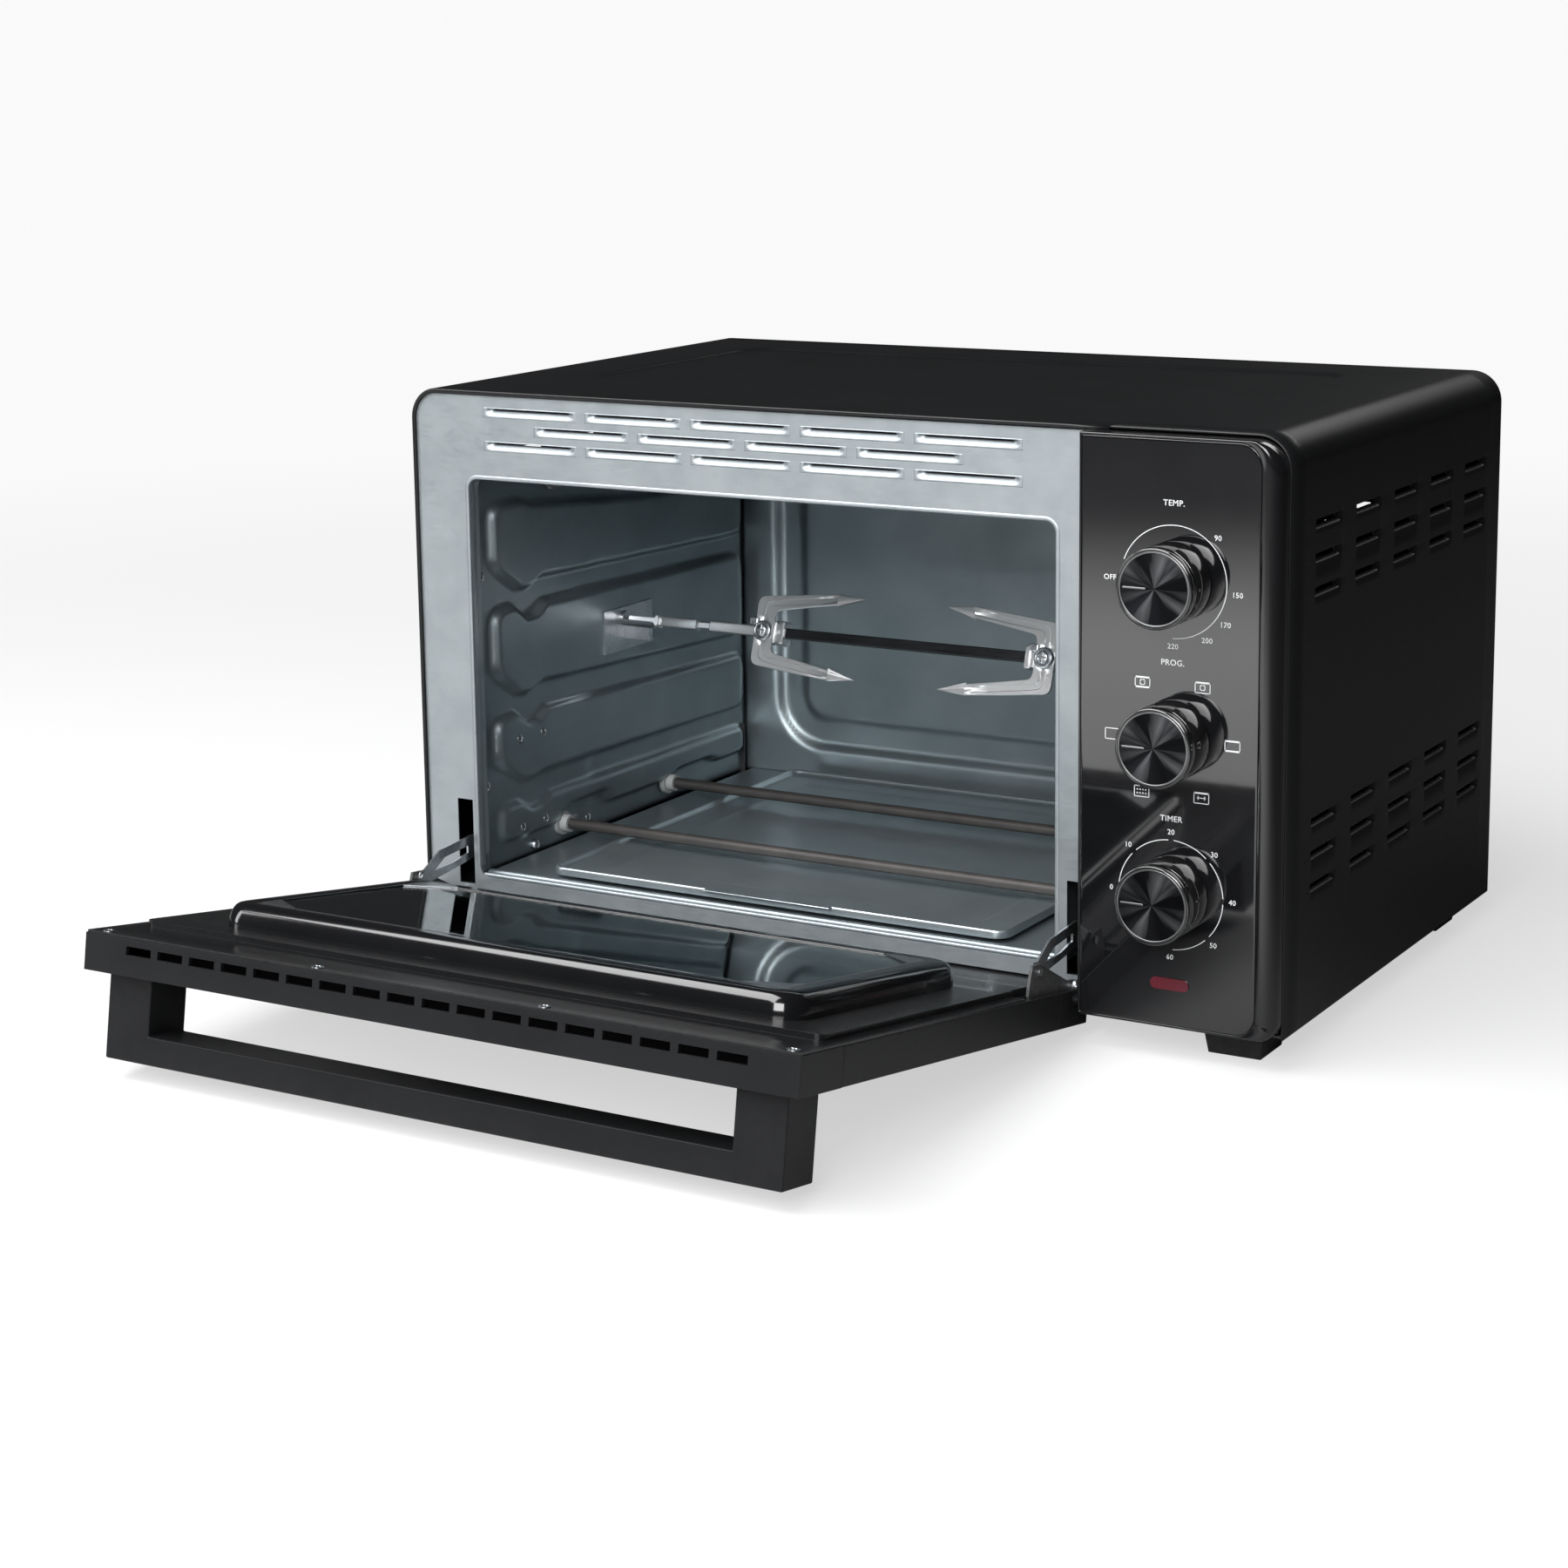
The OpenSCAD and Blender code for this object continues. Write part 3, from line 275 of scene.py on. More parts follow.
def lathe(profile: list, centre: tuple, turns: int = 64, axis: str = "y") -> Patch:
    """Spins a profile of (radius, position along the axis) about a line along Y or X.

    Args:
        profile: Radius and position pairs; a first or last radius of 0 closes that end.
        centre: The line's place in the two other coordinates.
        turns: Points round the line.
        axis: "y" or "x".

    Returns:
        The patch.
    """
    r, h = np.array(profile, float).T
    angle = np.arange(turns) * 2 * math.pi / turns
    a = centre[0] + r[:, None] * np.cos(angle)
    b = centre[1] + r[:, None] * np.sin(angle)
    along = np.zeros_like(a) + h[:, None]
    points = np.stack([a, along, b] if axis == "y" else [along, a, b], -1)
    return Patch.grid(points, (False, True))


def sweep(path: np.ndarray, side: np.ndarray, up: np.ndarray, profile: np.ndarray) -> Patch:
    """Carries a closed profile along a path and closes its ends with a point at each.

    A point of the surface is the path's point, plus the profile's first number times side,
    plus its second times up.

    Args:
        path: The path's points, n by 3.
        side: Unit vectors across the path, n by 3.
        up: Unit vectors square to side and the path, n by 3.
        profile: Loops of (across, up) pairs, k by 2, or n by k by 2 where it changes.

    Returns:
        The patch, closed all round.
    """
    if profile.ndim == 2:
        profile = np.broadcast_to(profile, (len(path), *profile.shape))
    body = (path[:, None] + profile[..., :1] * side[:, None] + profile[..., 1:] * up[:, None])
    first, last = (np.broadcast_to(body[k].mean(0), body[k].shape)[None] for k in (0, -1))
    return Patch.grid(np.concatenate([first, body, last]), (False, True))


# ---- pieces ---------------------------------------------------------------------------------


def weld(mesh: bpy.types.Mesh, shell: bool) -> None:
    """Merges points that fall together and drops faces that have no area.

    Args:
        mesh: The mesh to clean.
        shell: Whether it is closed, so that its faces can be turned outwards.
    """
    work = bmesh.new()
    work.from_mesh(mesh)
    bmesh.ops.remove_doubles(work, verts=work.verts, dist=1e-6)
    bmesh.ops.dissolve_degenerate(work, edges=work.edges, dist=1e-7)
    if shell:
        bmesh.ops.recalc_face_normals(work, faces=work.faces)
    work.to_mesh(mesh)
    work.free()


def crease(mesh: bpy.types.Mesh, angle: float) -> None:
    """Shades a mesh smooth, apart from edges sharper than an angle in degrees."""
    mesh.shade_smooth()
    mesh.set_sharp_from_angle(angle=math.radians(angle))


@dataclass
class Piece:
    """How one finished piece hangs in the oven."""

    name: str
    body: str
    finish: "Finish"
    slot: str
    replaces: tuple[str, ...] = ()

    def hang(self, obj: bpy.types.Object) -> bpy.types.Object:
        """Gives a finished mesh its material and body, and hides the nodes that it stands for."""
        obj.data.materials.clear()
        obj.data.materials.append(self.finish.material())
        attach(obj, self.body)
        if self.replaces:
            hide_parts(*self.replaces)
        LOG.info("%s: %d faces on %s", self.name, len(obj.data.polygons), self.body)
        return obj

    def build(self, patch: Patch, place: Place = CASE, wall: float = 0.0, shell: bool = True,
              angle: float = 40.0) -> bpy.types.Object:
        """Makes the piece's mesh from a patch.

        Args:
            patch: The surface in the place's axes.
            place: Where those axes stand.
            wall: Thickness that an open sheet gets behind its faces, in millimetres.
            shell: Whether the surface is closed.
            angle: Edges sharper than this many degrees stay crisp.

        Returns:
            The piece.
        """
        mesh = bpy.data.meshes.new(self.name)
        mesh.vertices.add(len(patch.points))
        mesh.vertices.foreach_set("co", place(patch.points).astype(np.float32).ravel())
        mesh.loops.add(patch.quads.size)
        mesh.loops.foreach_set("vertex_index", patch.quads.astype(np.int32).ravel())
        mesh.polygons.add(len(patch.quads))
        mesh.polygons.foreach_set("loop_start", np.arange(0, patch.quads.size, 4, dtype=np.int32))
        mesh.update(calc_edges=True)
        weld(mesh, shell)
        crease(mesh, angle)
        obj = bpy.data.objects.new(self.name, mesh)
        bpy.context.scene.collection.objects.link(obj)
        if wall:
            thick = obj.modifiers.new("wall", "SOLIDIFY")
            thick.thickness = wall * MM
            thick.offset = -1.0
        return self.hang(obj)

    def eased(self, node: str, width: float, angle: float = 30.0) -> bpy.types.Object:
        """Copies a node's shape, joins its flat faces and rounds its edges.

        Args:
            node: The node that the copy stands for.
            width: How far the rounding reaches from an edge, in millimetres.
            angle: Edges sharper than this many degrees are rounded.

        Returns:
            The piece.
        """
        mesh = frame["nodes"][node].data.copy()
        mesh.name = self.name
        work = bmesh.new()
        work.from_mesh(mesh)
        bmesh.ops.remove_doubles(work, verts=work.verts, dist=1e-6)
        bmesh.ops.dissolve_limit(work, angle_limit=math.radians(1.0), verts=work.verts,
                                 edges=work.edges)
        work.to_mesh(mesh)
        work.free()
        crease(mesh, angle)
        obj = bpy.data.objects.new(self.name, mesh)
        bpy.context.scene.collection.objects.link(obj)
        soft = obj.modifiers.new("soft_edges", "BEVEL")
        soft.width = width * MM
        soft.segments = 2
        soft.limit_method = "ANGLE"
        soft.angle_limit = math.radians(angle)
        soft.harden_normals = True
        return self.hang(obj)


# ---- effects shared by finishes --------------------------------------------------------------


class Grain(Enum):
    """The fine relief that a finish shows."""

    CAST = "even small pits and swells, as on moulded plastic and paint"
    BRUSHED = "long fine scratches along one direction"
    ROLLED = "soft clouds and faint scratches, as on cold-rolled sheet"
    CLEAN = "next to nothing, as on glass"


def group_of(name: str, inputs: dict, outputs: list[str]) -> tuple:
    """Starts a node group with named sockets.

    Args:
        name: The group's name.
        inputs: Socket names, with a default number, or a tuple for a vector.
        outputs: Names of outputs, where one that ends in Normal is a vector.

    Returns:
        The group and its input and output nodes.
    """
    group = bpy.data.node_groups.new(name, "ShaderNodeTree")
    for label, value in inputs.items():
        kind = "NodeSocketVector" if isinstance(value, tuple) else "NodeSocketFloat"
        socket = group.interface.new_socket(name=label, in_out="INPUT", socket_type=kind)
        socket.default_value = value
    for label in outputs:
        kind = "NodeSocketVector" if label.endswith("Normal") else "NodeSocketFloat"
        group.interface.new_socket(name=label, in_out="OUTPUT", socket_type=kind)
    return group, group.nodes.new("NodeGroupInput"), group.nodes.new("NodeGroupOutput")


def set_up(tree: bpy.types.NodeTree, kind: str, **values: object) -> bpy.types.Node:
    """Adds a node and sets its inputs and properties.

    Args:
        tree: The tree to add to.
        kind: The node's type name.
        values: Properties by name; an input is named with its spaces as underscores.

    Returns:
        The node.
    """
    node = tree.nodes.new(kind)
    for label, value in values.items():
        if hasattr(node, label):
            setattr(node, label, value)
            continue
        socket = node.inputs[label.replace("_", " ")]
        if isinstance(value, bpy.types.NodeSocket):
            tree.links.new(value, socket)
        else:
            socket.default_value = value
    return node


def grain_group() -> bpy.types.NodeTree:
    """Builds fine relief and cloudy variation from two noises on stretched coordinates.

    Returns:
        A group with Fine and Cloud masks from 0 to 1 and a bumped Normal.
    """
    if "fine_grain" in bpy.data.node_groups:
        return bpy.data.node_groups["fine_grain"]
    group, start, end = group_of(
        "fine_grain",
        {"Vector": (0.0, 0.0, 0.0), "Stretch": (1.0, 1.0, 1.0), "Cloud Scale": 20.0, "Relief": 0.1,
         "Height": 0.0001},
        ["Fine", "Cloud", "Normal"])
    scaled = set_up(group, "ShaderNodeVectorMath", operation="MULTIPLY")
    group.links.new(start.outputs["Vector"], scaled.inputs[0])
    group.links.new(start.outputs["Stretch"], scaled.inputs[1])
    fine = set_up(group, "ShaderNodeTexNoise", Vector=scaled.outputs[0], Scale=1.0, Detail=3.0,
                  Roughness=0.6)
    cloud = set_up(group, "ShaderNodeTexNoise", Vector=start.outputs["Vector"],
                   Scale=start.outputs["Cloud Scale"], Detail=4.0, Roughness=0.55)
    bump = set_up(group, "ShaderNodeBump", Strength=start.outputs["Relief"],
                  Distance=start.outputs["Height"], Height=fine.outputs["Fac"])
    group.links.new(fine.outputs["Fac"], end.inputs["Fine"])
    group.links.new(cloud.outputs["Fac"], end.inputs["Cloud"])
    group.links.new(bump.outputs["Normal"], end.inputs["Normal"])
    return group


def wear_group() -> bpy.types.NodeTree:
    """Builds edge wear: where the surface bends outwards, broken up by a noise.

    Returns:
        A group with an Edge mask from 0 to 1.
    """
    if "edge_wear" in bpy.data.node_groups:
        return bpy.data.node_groups["edge_wear"]
    group, start, end = group_of("edge_wear", {"Vector": (0.0, 0.0, 0.0), "Amount": 0.5}, ["Edge"])
    form = set_up(group, "ShaderNodeNewGeometry")
    bend = set_up(group, "ShaderNodeMapRange", Value=form.outputs["Pointiness"], From_Min=0.52,
                  From_Max=0.62)
    rub = set_up(group, "ShaderNodeTexNoise", Vector=start.outputs["Vector"], Scale=240.0,
                 Detail=2.0)
    broken = set_up(group, "ShaderNodeMath", operation="MULTIPLY")
    group.links.new(bend.outputs["Result"], broken.inputs[0])
    group.links.new(rub.outputs["Fac"], broken.inputs[1])
    scaled = set_up(group, "ShaderNodeMath", operation="MULTIPLY", use_clamp=True)
    group.links.new(broken.outputs[0], scaled.inputs[0])
    group.links.new(start.outputs["Amount"], scaled.inputs[1])
    group.links.new(scaled.outputs[0], end.inputs["Edge"])
    return group


def dust_group() -> bpy.types.NodeTree:
    """Builds settled dust: where the surface faces up, scattered by a fine noise.

    Returns:
        A group with a Dust mask from 0 to 1.
    """
    if "settled_dust" in bpy.data.node_groups:
        return bpy.data.node_groups["settled_dust"]
    group, start, end = group_of("settled_dust", {"Vector": (0.0, 0.0, 0.0), "Amount": 0.1},
                                 ["Dust"])
    form = set_up(group, "ShaderNodeNewGeometry")
    split = set_up(group, "ShaderNodeSeparateXYZ", Vector=form.outputs["Normal"])
    specks = set_up(group, "ShaderNodeTexNoise", Vector=start.outputs["Vector"], Scale=900.0,
                    Detail=2.0)
    few = set_up(group, "ShaderNodeMapRange", Value=specks.outputs["Fac"], From_Min=0.45,
                 From_Max=0.75)
    up = set_up(group, "ShaderNodeMath", operation="MULTIPLY", use_clamp=True)
    group.links.new(split.outputs["Z"], up.inputs[0])
    group.links.new(few.outputs["Result"], up.inputs[1])
    scaled = set_up(group, "ShaderNodeMath", operation="MULTIPLY")
    group.links.new(up.outputs[0], scaled.inputs[0])
    group.links.new(start.outputs["Amount"], scaled.inputs[1])
    group.links.new(scaled.outputs[0], end.inputs["Dust"])
    return group


# Noise steps per metre for each grain, along X, Y and Z; brushed runs along X
GRAIN_SCALE = {
    Grain.CAST: (1400.0, 1400.0, 1400.0),
    Grain.BRUSHED: (25.0, 2600.0, 2600.0),
    Grain.ROLLED: (160.0, 900.0, 900.0),
    Grain.CLEAN: (120.0, 120.0, 120.0),
}


@dataclass(frozen=True)
class Finish:
    """One surface finish, as a node material that is built once.

    colour and second are mixed by the cloudy noise, and on a spun finish by radial streaks instead,
    which are painted highlights; rough is the lowest and highest roughness and follows the fine
    grain. worn and dust are the strengths of those effects.
    """

    name: str
    colour: tuple[float, float, float]
    second: tuple[float, float, float]
    rough: tuple[float, float]
    metal: float = 0.0
    grain: Grain = Grain.CAST
    relief: float = 0.15
    height: float = 0.00005
    cloud: float = 18.0
    worn: float = 0.0
    worn_colour: tuple[float, float, float] = (0.2, 0.2, 0.2)
    dust: float = 0.0
    coat: float = 0.0
    # Anisotropy of a spun finish; when set, the colours are also laid in radial streaks as painted
    # highlights
    spun: float = 0.0
    clear: float = 0.0
    index: float = 1.5
    gloss: float = 0.5

    def material(self) -> bpy.types.Material:
        """Builds the material, or finds the one already made."""
        label = f"{self.name}_finish"
        if label in bpy.data.materials:
            return bpy.data.materials[label]
        made = bpy.data.materials.new(label)
        made.use_nodes = True
        tree = made.node_tree
        tree.nodes.clear()
        where = set_up(tree, "ShaderNodeTexCoord").outputs["Object"]
        shader = set_up(tree, "ShaderNodeBsdfPrincipled", Metallic=self.metal, IOR=self.index,
                        Coat_Weight=self.coat, Coat_Roughness=0.04,
                        Specular_IOR_Level=self.gloss)
        out = tree.nodes.new("ShaderNodeOutputMaterial")
        tree.links.new(shader.outputs[0], out.inputs[0])
        grain = set_up(tree, "ShaderNodeGroup", node_tree=grain_group())
        tree.links.new(where, grain.inputs["Vector"])
        grain.inputs["Stretch"].default_value = GRAIN_SCALE[self.grain]
        grain.inputs["Cloud Scale"].default_value = self.cloud
        grain.inputs["Relief"].default_value = self.relief
        grain.inputs["Height"].default_value = self.height
        self._colour(tree, where, grain, shader)
        rough = set_up(tree, "ShaderNodeMapRange", Value=grain.outputs["Fine"], From_Min=0.3,
                       From_Max=0.7, To_Min=self.rough[0], To_Max=self.rough[1])
        tree.links.new(rough.outputs["Result"], shader.inputs["Roughness"])
        tree.links.new(grain.outputs["Normal"], shader.inputs["Normal"])
        if self.spun:
            shader.inputs["Anisotropic"].default_value = self.spun
            around = set_up(tree, "ShaderNodeTangent", direction_type="UV_MAP", uv_map="spin")
            tree.links.new(around.outputs[0], shader.inputs["Tangent"])
        if self.clear:
            shader.inputs["Transmission Weight"].default_value = self.clear
        return made

    def _colour(self, tree: bpy.types.NodeTree, where: bpy.types.NodeSocket,
                grain: bpy.types.Node, shader: bpy.types.Node) -> None:
        """Mixes the two colours by the clouds, then adds edge wear and dust. On a spun finish the
        mix follows radial streaks instead, painted highlights standing for the glints of spun metal.

        Args:
            tree: The material's tree.
            where: Object coordinates.
            grain: The placed grain group.
            shader: The shader whose colour is set.
        """
        share = set_up(tree, "ShaderNodeMapRange", Value=grain.outputs["Cloud"], From_Min=0.35,
                       From_Max=0.65)
        # Painted highlight: radial streaks on the spin coordinates bring in the light second colour
        # as the glints of a spun disc
        if self.spun:
            ring = set_up(tree, "ShaderNodeUVMap", uv_map="spin")
            painted_glint_rays = set_up(tree, "ShaderNodeVectorMath", operation="MULTIPLY")
            tree.links.new(ring.outputs["UV"], painted_glint_rays.inputs[0])
            painted_glint_rays.inputs[1].default_value = (0.25, 7.0, 0.0)
            painted_glint_streak = set_up(tree, "ShaderNodeTexNoise", Vector=painted_glint_rays.outputs[0], Scale=1.0,
                            Detail=3.0)
            tree.links.new(painted_glint_streak.outputs["Fac"], share.inputs["Value"])
            share.inputs["From Min"].default_value = 0.48
            share.inputs["From Max"].default_value = 0.74
        colour = self._mix(tree, share.outputs["Result"], (*self.colour, 1.0), (*self.second, 1.0))
        for amount, group, mask, tone in (
                (self.worn, wear_group, "Edge", self.worn_colour),
                (self.dust, dust_group, "Dust", (0.45, 0.44, 0.42))):
            if amount:
                effect = set_up(tree, "ShaderNodeGroup", node_tree=group())
                tree.links.new(where, effect.inputs["Vector"])
                effect.inputs["Amount"].default_value = amount
                colour = self._mix(tree, effect.outputs[mask], colour, (*tone, 1.0))
        tree.links.new(colour, shader.inputs["Base Color"])

    @staticmethod
    def _mix(tree: bpy.types.NodeTree, share: bpy.types.NodeSocket, first: object,
             second: object) -> bpy.types.NodeSocket:
        """Mixes two colours, each a socket or four numbers, and gives the result's socket."""
        node = set_up(tree, "ShaderNodeMix", data_type="RGBA")
        tree.links.new(share, node.inputs["Factor"])
        for slot, value in ((6, first), (7, second)):
            if isinstance(value, bpy.types.NodeSocket):
                tree.links.new(value, node.inputs[slot])
            else:
                node.inputs[slot].default_value = value
        return node.outputs[2]


# ---- the oven's finishes ---------------------------------------------------------------------

CASE_PAINT = Finish("satin_black_paint", (0.0042, 0.0045, 0.0050), (0.0056, 0.0059, 0.0065),
                    (0.30, 0.40), relief=0.10, gloss=0.36, dust=0.006)
DARK_SHEET = Finish("dark_painted_sheet", (0.014, 0.015, 0.017), (0.020, 0.021, 0.024), (0.4, 0.55),
                    worn=0.25, dust=0.02, gloss=0.4)
ZINC_FRONT = Finish("zinc_coated_front", (0.33, 0.365, 0.385), (0.38, 0.415, 0.435), (0.42, 0.52),
                    metal=0.85, grain=Grain.ROLLED, relief=0.12, cloud=45.0)
CHAMBER_STEEL = Finish("chamber_steel", (0.27, 0.315, 0.335), (0.31, 0.355, 0.375), (0.36, 0.44),
                       metal=0.9, grain=Grain.CAST, relief=0.02, cloud=30.0)
TRAY_STEEL = Finish("tray_steel", (0.36, 0.41, 0.43), (0.42, 0.47, 0.49), (0.30, 0.38), metal=0.9,
                    grain=Grain.CAST, relief=0.02, cloud=25.0)
ROD_SHEATH = Finish("heater_sheath", (0.030, 0.027, 0.026), (0.044, 0.039, 0.037), (0.42, 0.58),
                    metal=0.15, relief=0.3, cloud=60.0)
CERAMIC = Finish("ceramic_bush", (0.34, 0.35, 0.345), (0.28, 0.29, 0.285), (0.5, 0.65))
PANEL_GLOSS = Finish("gloss_black_moulding", (0.0042, 0.0044, 0.005), (0.0055, 0.0057, 0.0064),
                     (0.12, 0.18), relief=0.03, worn=0.15, coat=0.3)
PANE_BLACK = Finish("black_backed_pane", (0.004, 0.0042, 0.005), (0.006, 0.0062, 0.007),
                    (0.045, 0.07), grain=Grain.CLEAN, relief=0.01, coat=1.0)
KNOB_GLOSS = Finish("gloss_knob", (0.005, 0.005, 0.0055), (0.007, 0.007, 0.0075), (0.08, 0.12),
                    relief=0.02, coat=0.8, worn=0.2)
KNOB_RIM = Finish("satin_rim", (0.20, 0.205, 0.21), (0.25, 0.255, 0.26), (0.28, 0.36), metal=1.0,
                  relief=0.05)
# Painted highlight: the light second colour is laid in radial streaks as the glints of a spun disc;
# the dark first colour is the disc's own
SPUN_DISC_PAINTED_GLINTS = Finish("spun_disc", (0.010, 0.0105, 0.012), (0.16, 0.165, 0.172), (0.36, 0.44), metal=1.0,
                   relief=0.04, spun=0.95)
PRINT_WHITE = Finish("panel_print", (0.62, 0.63, 0.64), (0.56, 0.57, 0.58), (0.45, 0.55),
                     relief=0.05)
RED_LENS = Finish("red_lens", (0.075, 0.006, 0.013), (0.095, 0.008, 0.016), (0.25, 0.34), coat=0.3,
                  relief=0.1)
AMBER_LAMP = Finish("lamp_bulb", (0.8, 0.4, 0.15), (0.7, 0.33, 0.12), (0.2, 0.3))
# Painted shade: a dark brown set on the thermostat in place of its lighter metal, so that seen
# through the side louvres it reads as the shaded inside of the case
CONTROL_BODY_SHADE_DARKENED = Finish("control_body", (0.10, 0.085, 0.06), (0.13, 0.11, 0.08), (0.5, 0.65))
SWITCH_BODY = Finish("switch_body", (0.22, 0.21, 0.19), (0.18, 0.17, 0.155), (0.5, 0.6))
BRIGHT_STEEL = Finish("bright_steel", (0.62, 0.63, 0.64), (0.70, 0.71, 0.72), (0.28, 0.36),
                      metal=0.9, grain=Grain.CAST, relief=0.02)
SPIT_DARK = Finish("heat_darkened_steel", (0.035, 0.037, 0.040), (0.055, 0.057, 0.062),
                   (0.25, 0.36), metal=0.9, grain=Grain.BRUSHED, relief=0.12)
ZINC_PARTS = Finish("zinc_plated_parts", (0.46, 0.48, 0.50), (0.54, 0.56, 0.58), (0.25, 0.36),
                    metal=1.0, relief=0.12, cloud=90.0)
HINGE_BLACK = Finish("blackened_hinge", (0.020, 0.021, 0.023), (0.028, 0.029, 0.031),
                     (0.38, 0.5), metal=0.3, worn=0.5)
FOOT_PLASTIC = Finish("foot_plastic", (0.0065, 0.0065, 0.007), (0.009, 0.009, 0.0097), (0.45, 0.58),
                      relief=0.35, worn=0.1, gloss=0.4)
RAIL_BLACK = Finish("satin_black_rail", (0.0058, 0.0061, 0.0068), (0.0074, 0.0078, 0.0086),
                    (0.36, 0.46), relief=0.14, worn=0.2, worn_colour=(0.04, 0.04, 0.043),
                    dust=0.008, gloss=0.14)
SKIN_BLACK = Finish("door_skin_enamel", (0.0048, 0.005, 0.0056), (0.0062, 0.0065, 0.0072),
                    (0.26, 0.34), relief=0.08, coat=0.1, worn=0.2, dust=0.006, gloss=0.25)
RING_GLOSS = Finish("gloss_ring", (0.0045, 0.0047, 0.0053), (0.006, 0.0062, 0.007), (0.10, 0.15),
                    relief=0.03, coat=0.3)
INNER_GLASS = Finish("clear_glass", (0.86, 0.92, 0.93), (0.83, 0.90, 0.91), (0.0, 0.02),
                     grain=Grain.CLEAN, relief=0.004, clear=1.0)
OUTER_GLASS = Finish("tinted_glass", (0.010, 0.012, 0.014), (0.014, 0.016, 0.018), (0.02, 0.05),
                     grain=Grain.CLEAN, relief=0.005, coat=0.6)
FAN_METAL = Finish("fan_metal", (0.42, 0.43, 0.44), (0.48, 0.49, 0.50), (0.3, 0.42), metal=1.0)
SLEEVE = Finish("wire_sleeve", (0.52, 0.49, 0.42), (0.58, 0.55, 0.48), (0.6, 0.75), relief=0.4)
RUBBER = Finish("grommet_rubber", (0.012, 0.012, 0.012), (0.018, 0.018, 0.018), (0.6, 0.75),
                relief=0.3)
HANDLE_SATIN = Finish("handle_satin", (0.0055, 0.0058, 0.0064), (0.0070, 0.0073, 0.0080),
                      (0.38, 0.48), relief=0.18, worn=0.2, worn_colour=(0.05, 0.05, 0.054),
                      dust=0.008, gloss=0.12)


def plain_mesh(points: np.ndarray, faces: list, name: str) -> bpy.types.Mesh:
    """Makes a mesh from points in metres and faces of any length."""
    mesh = bpy.data.meshes.new(name)
    mesh.from_pydata([tuple(p) for p in points], [], faces)
    mesh.update()
    return mesh


def block(low: tuple, high: tuple, soft: float = 0.3) -> Patch:
    """Makes a closed box whose edges are cut by a small slope.

    Each of its loops in X and Z is the box's outline, drawn in by soft at both ends.

    Args:
        low: Its lowest corner.
        high: Its highest corner.
        soft: Width of the slope.

    Returns:
        The patch.
    """
    (x0, y0, z0), (x1, y1, z1) = low, high

    def ring(t: float) -> np.ndarray:
        """Gives the outline drawn in by t."""
        return loop((x0 + t, z0 + t, x1 - t, z1 - t), soft, 2)

    dot = np.zeros_like(ring(0.0)) + [(x0 + x1) / 2, (z0 + z1) / 2]
    flat = ring(soft) * 0.9 + dot * 0.1
    return nest([dot, flat, ring(soft), ring(0.0), ring(0.0), ring(soft), flat, dot],
                [y0, y0, y0, y0 + soft, y1 - soft, y1, y1, y1])


def cross_screw(centre: tuple, radius: float, high: float, axis: str) -> Patch:
    """Makes a domed screw head with a cross recess, that faces the low end of its axis.

    Height falls off as a circle's arc from the rim, and the recess is where either distance
    from the two lines of the cross is less than its half width.

    Args:
        centre: Its middle, on the surface that it stands on.
        radius: Its radius.
        high: How far it stands proud.
        axis: "y" for a head seen from the front, or "x" for one seen from the right.

    Returns:
        The patch, open where it meets the surface.
    """
    rings = np.array([0.0, 0.12, 0.2, 0.3, 0.42, 0.52, 0.64, 0.8, 0.92, 1.0, 1.0])
    angle = np.arange(32) * 2 * math.pi / 32
    a, b = rings[:, None] * np.cos(angle), rings[:, None] * np.sin(angle)
    dome = high * np.sqrt(np.clip(1.0 - (rings[:, None] * 0.93) ** 2, 0, 1)) + 0 * a
    bar = np.minimum(np.abs(a), np.abs(b))
    dome = dome - high * 0.9 * (1 - ramp(bar, 0.06, 0.14)) * (1 - ramp(np.hypot(a, b), 0.5, 0.58))
    dome[-1] = -0.2
    x, y, z = centre
    if axis == "y":
        points = np.stack([x + a * radius, y - dome, z + b * radius], -1)
    else:
        points = np.stack([x + dome, y + a * radius, z + b * radius], -1)
    return Patch.grid(points, (False, True))


# ---- case -----------------------------------------------------------------------------------


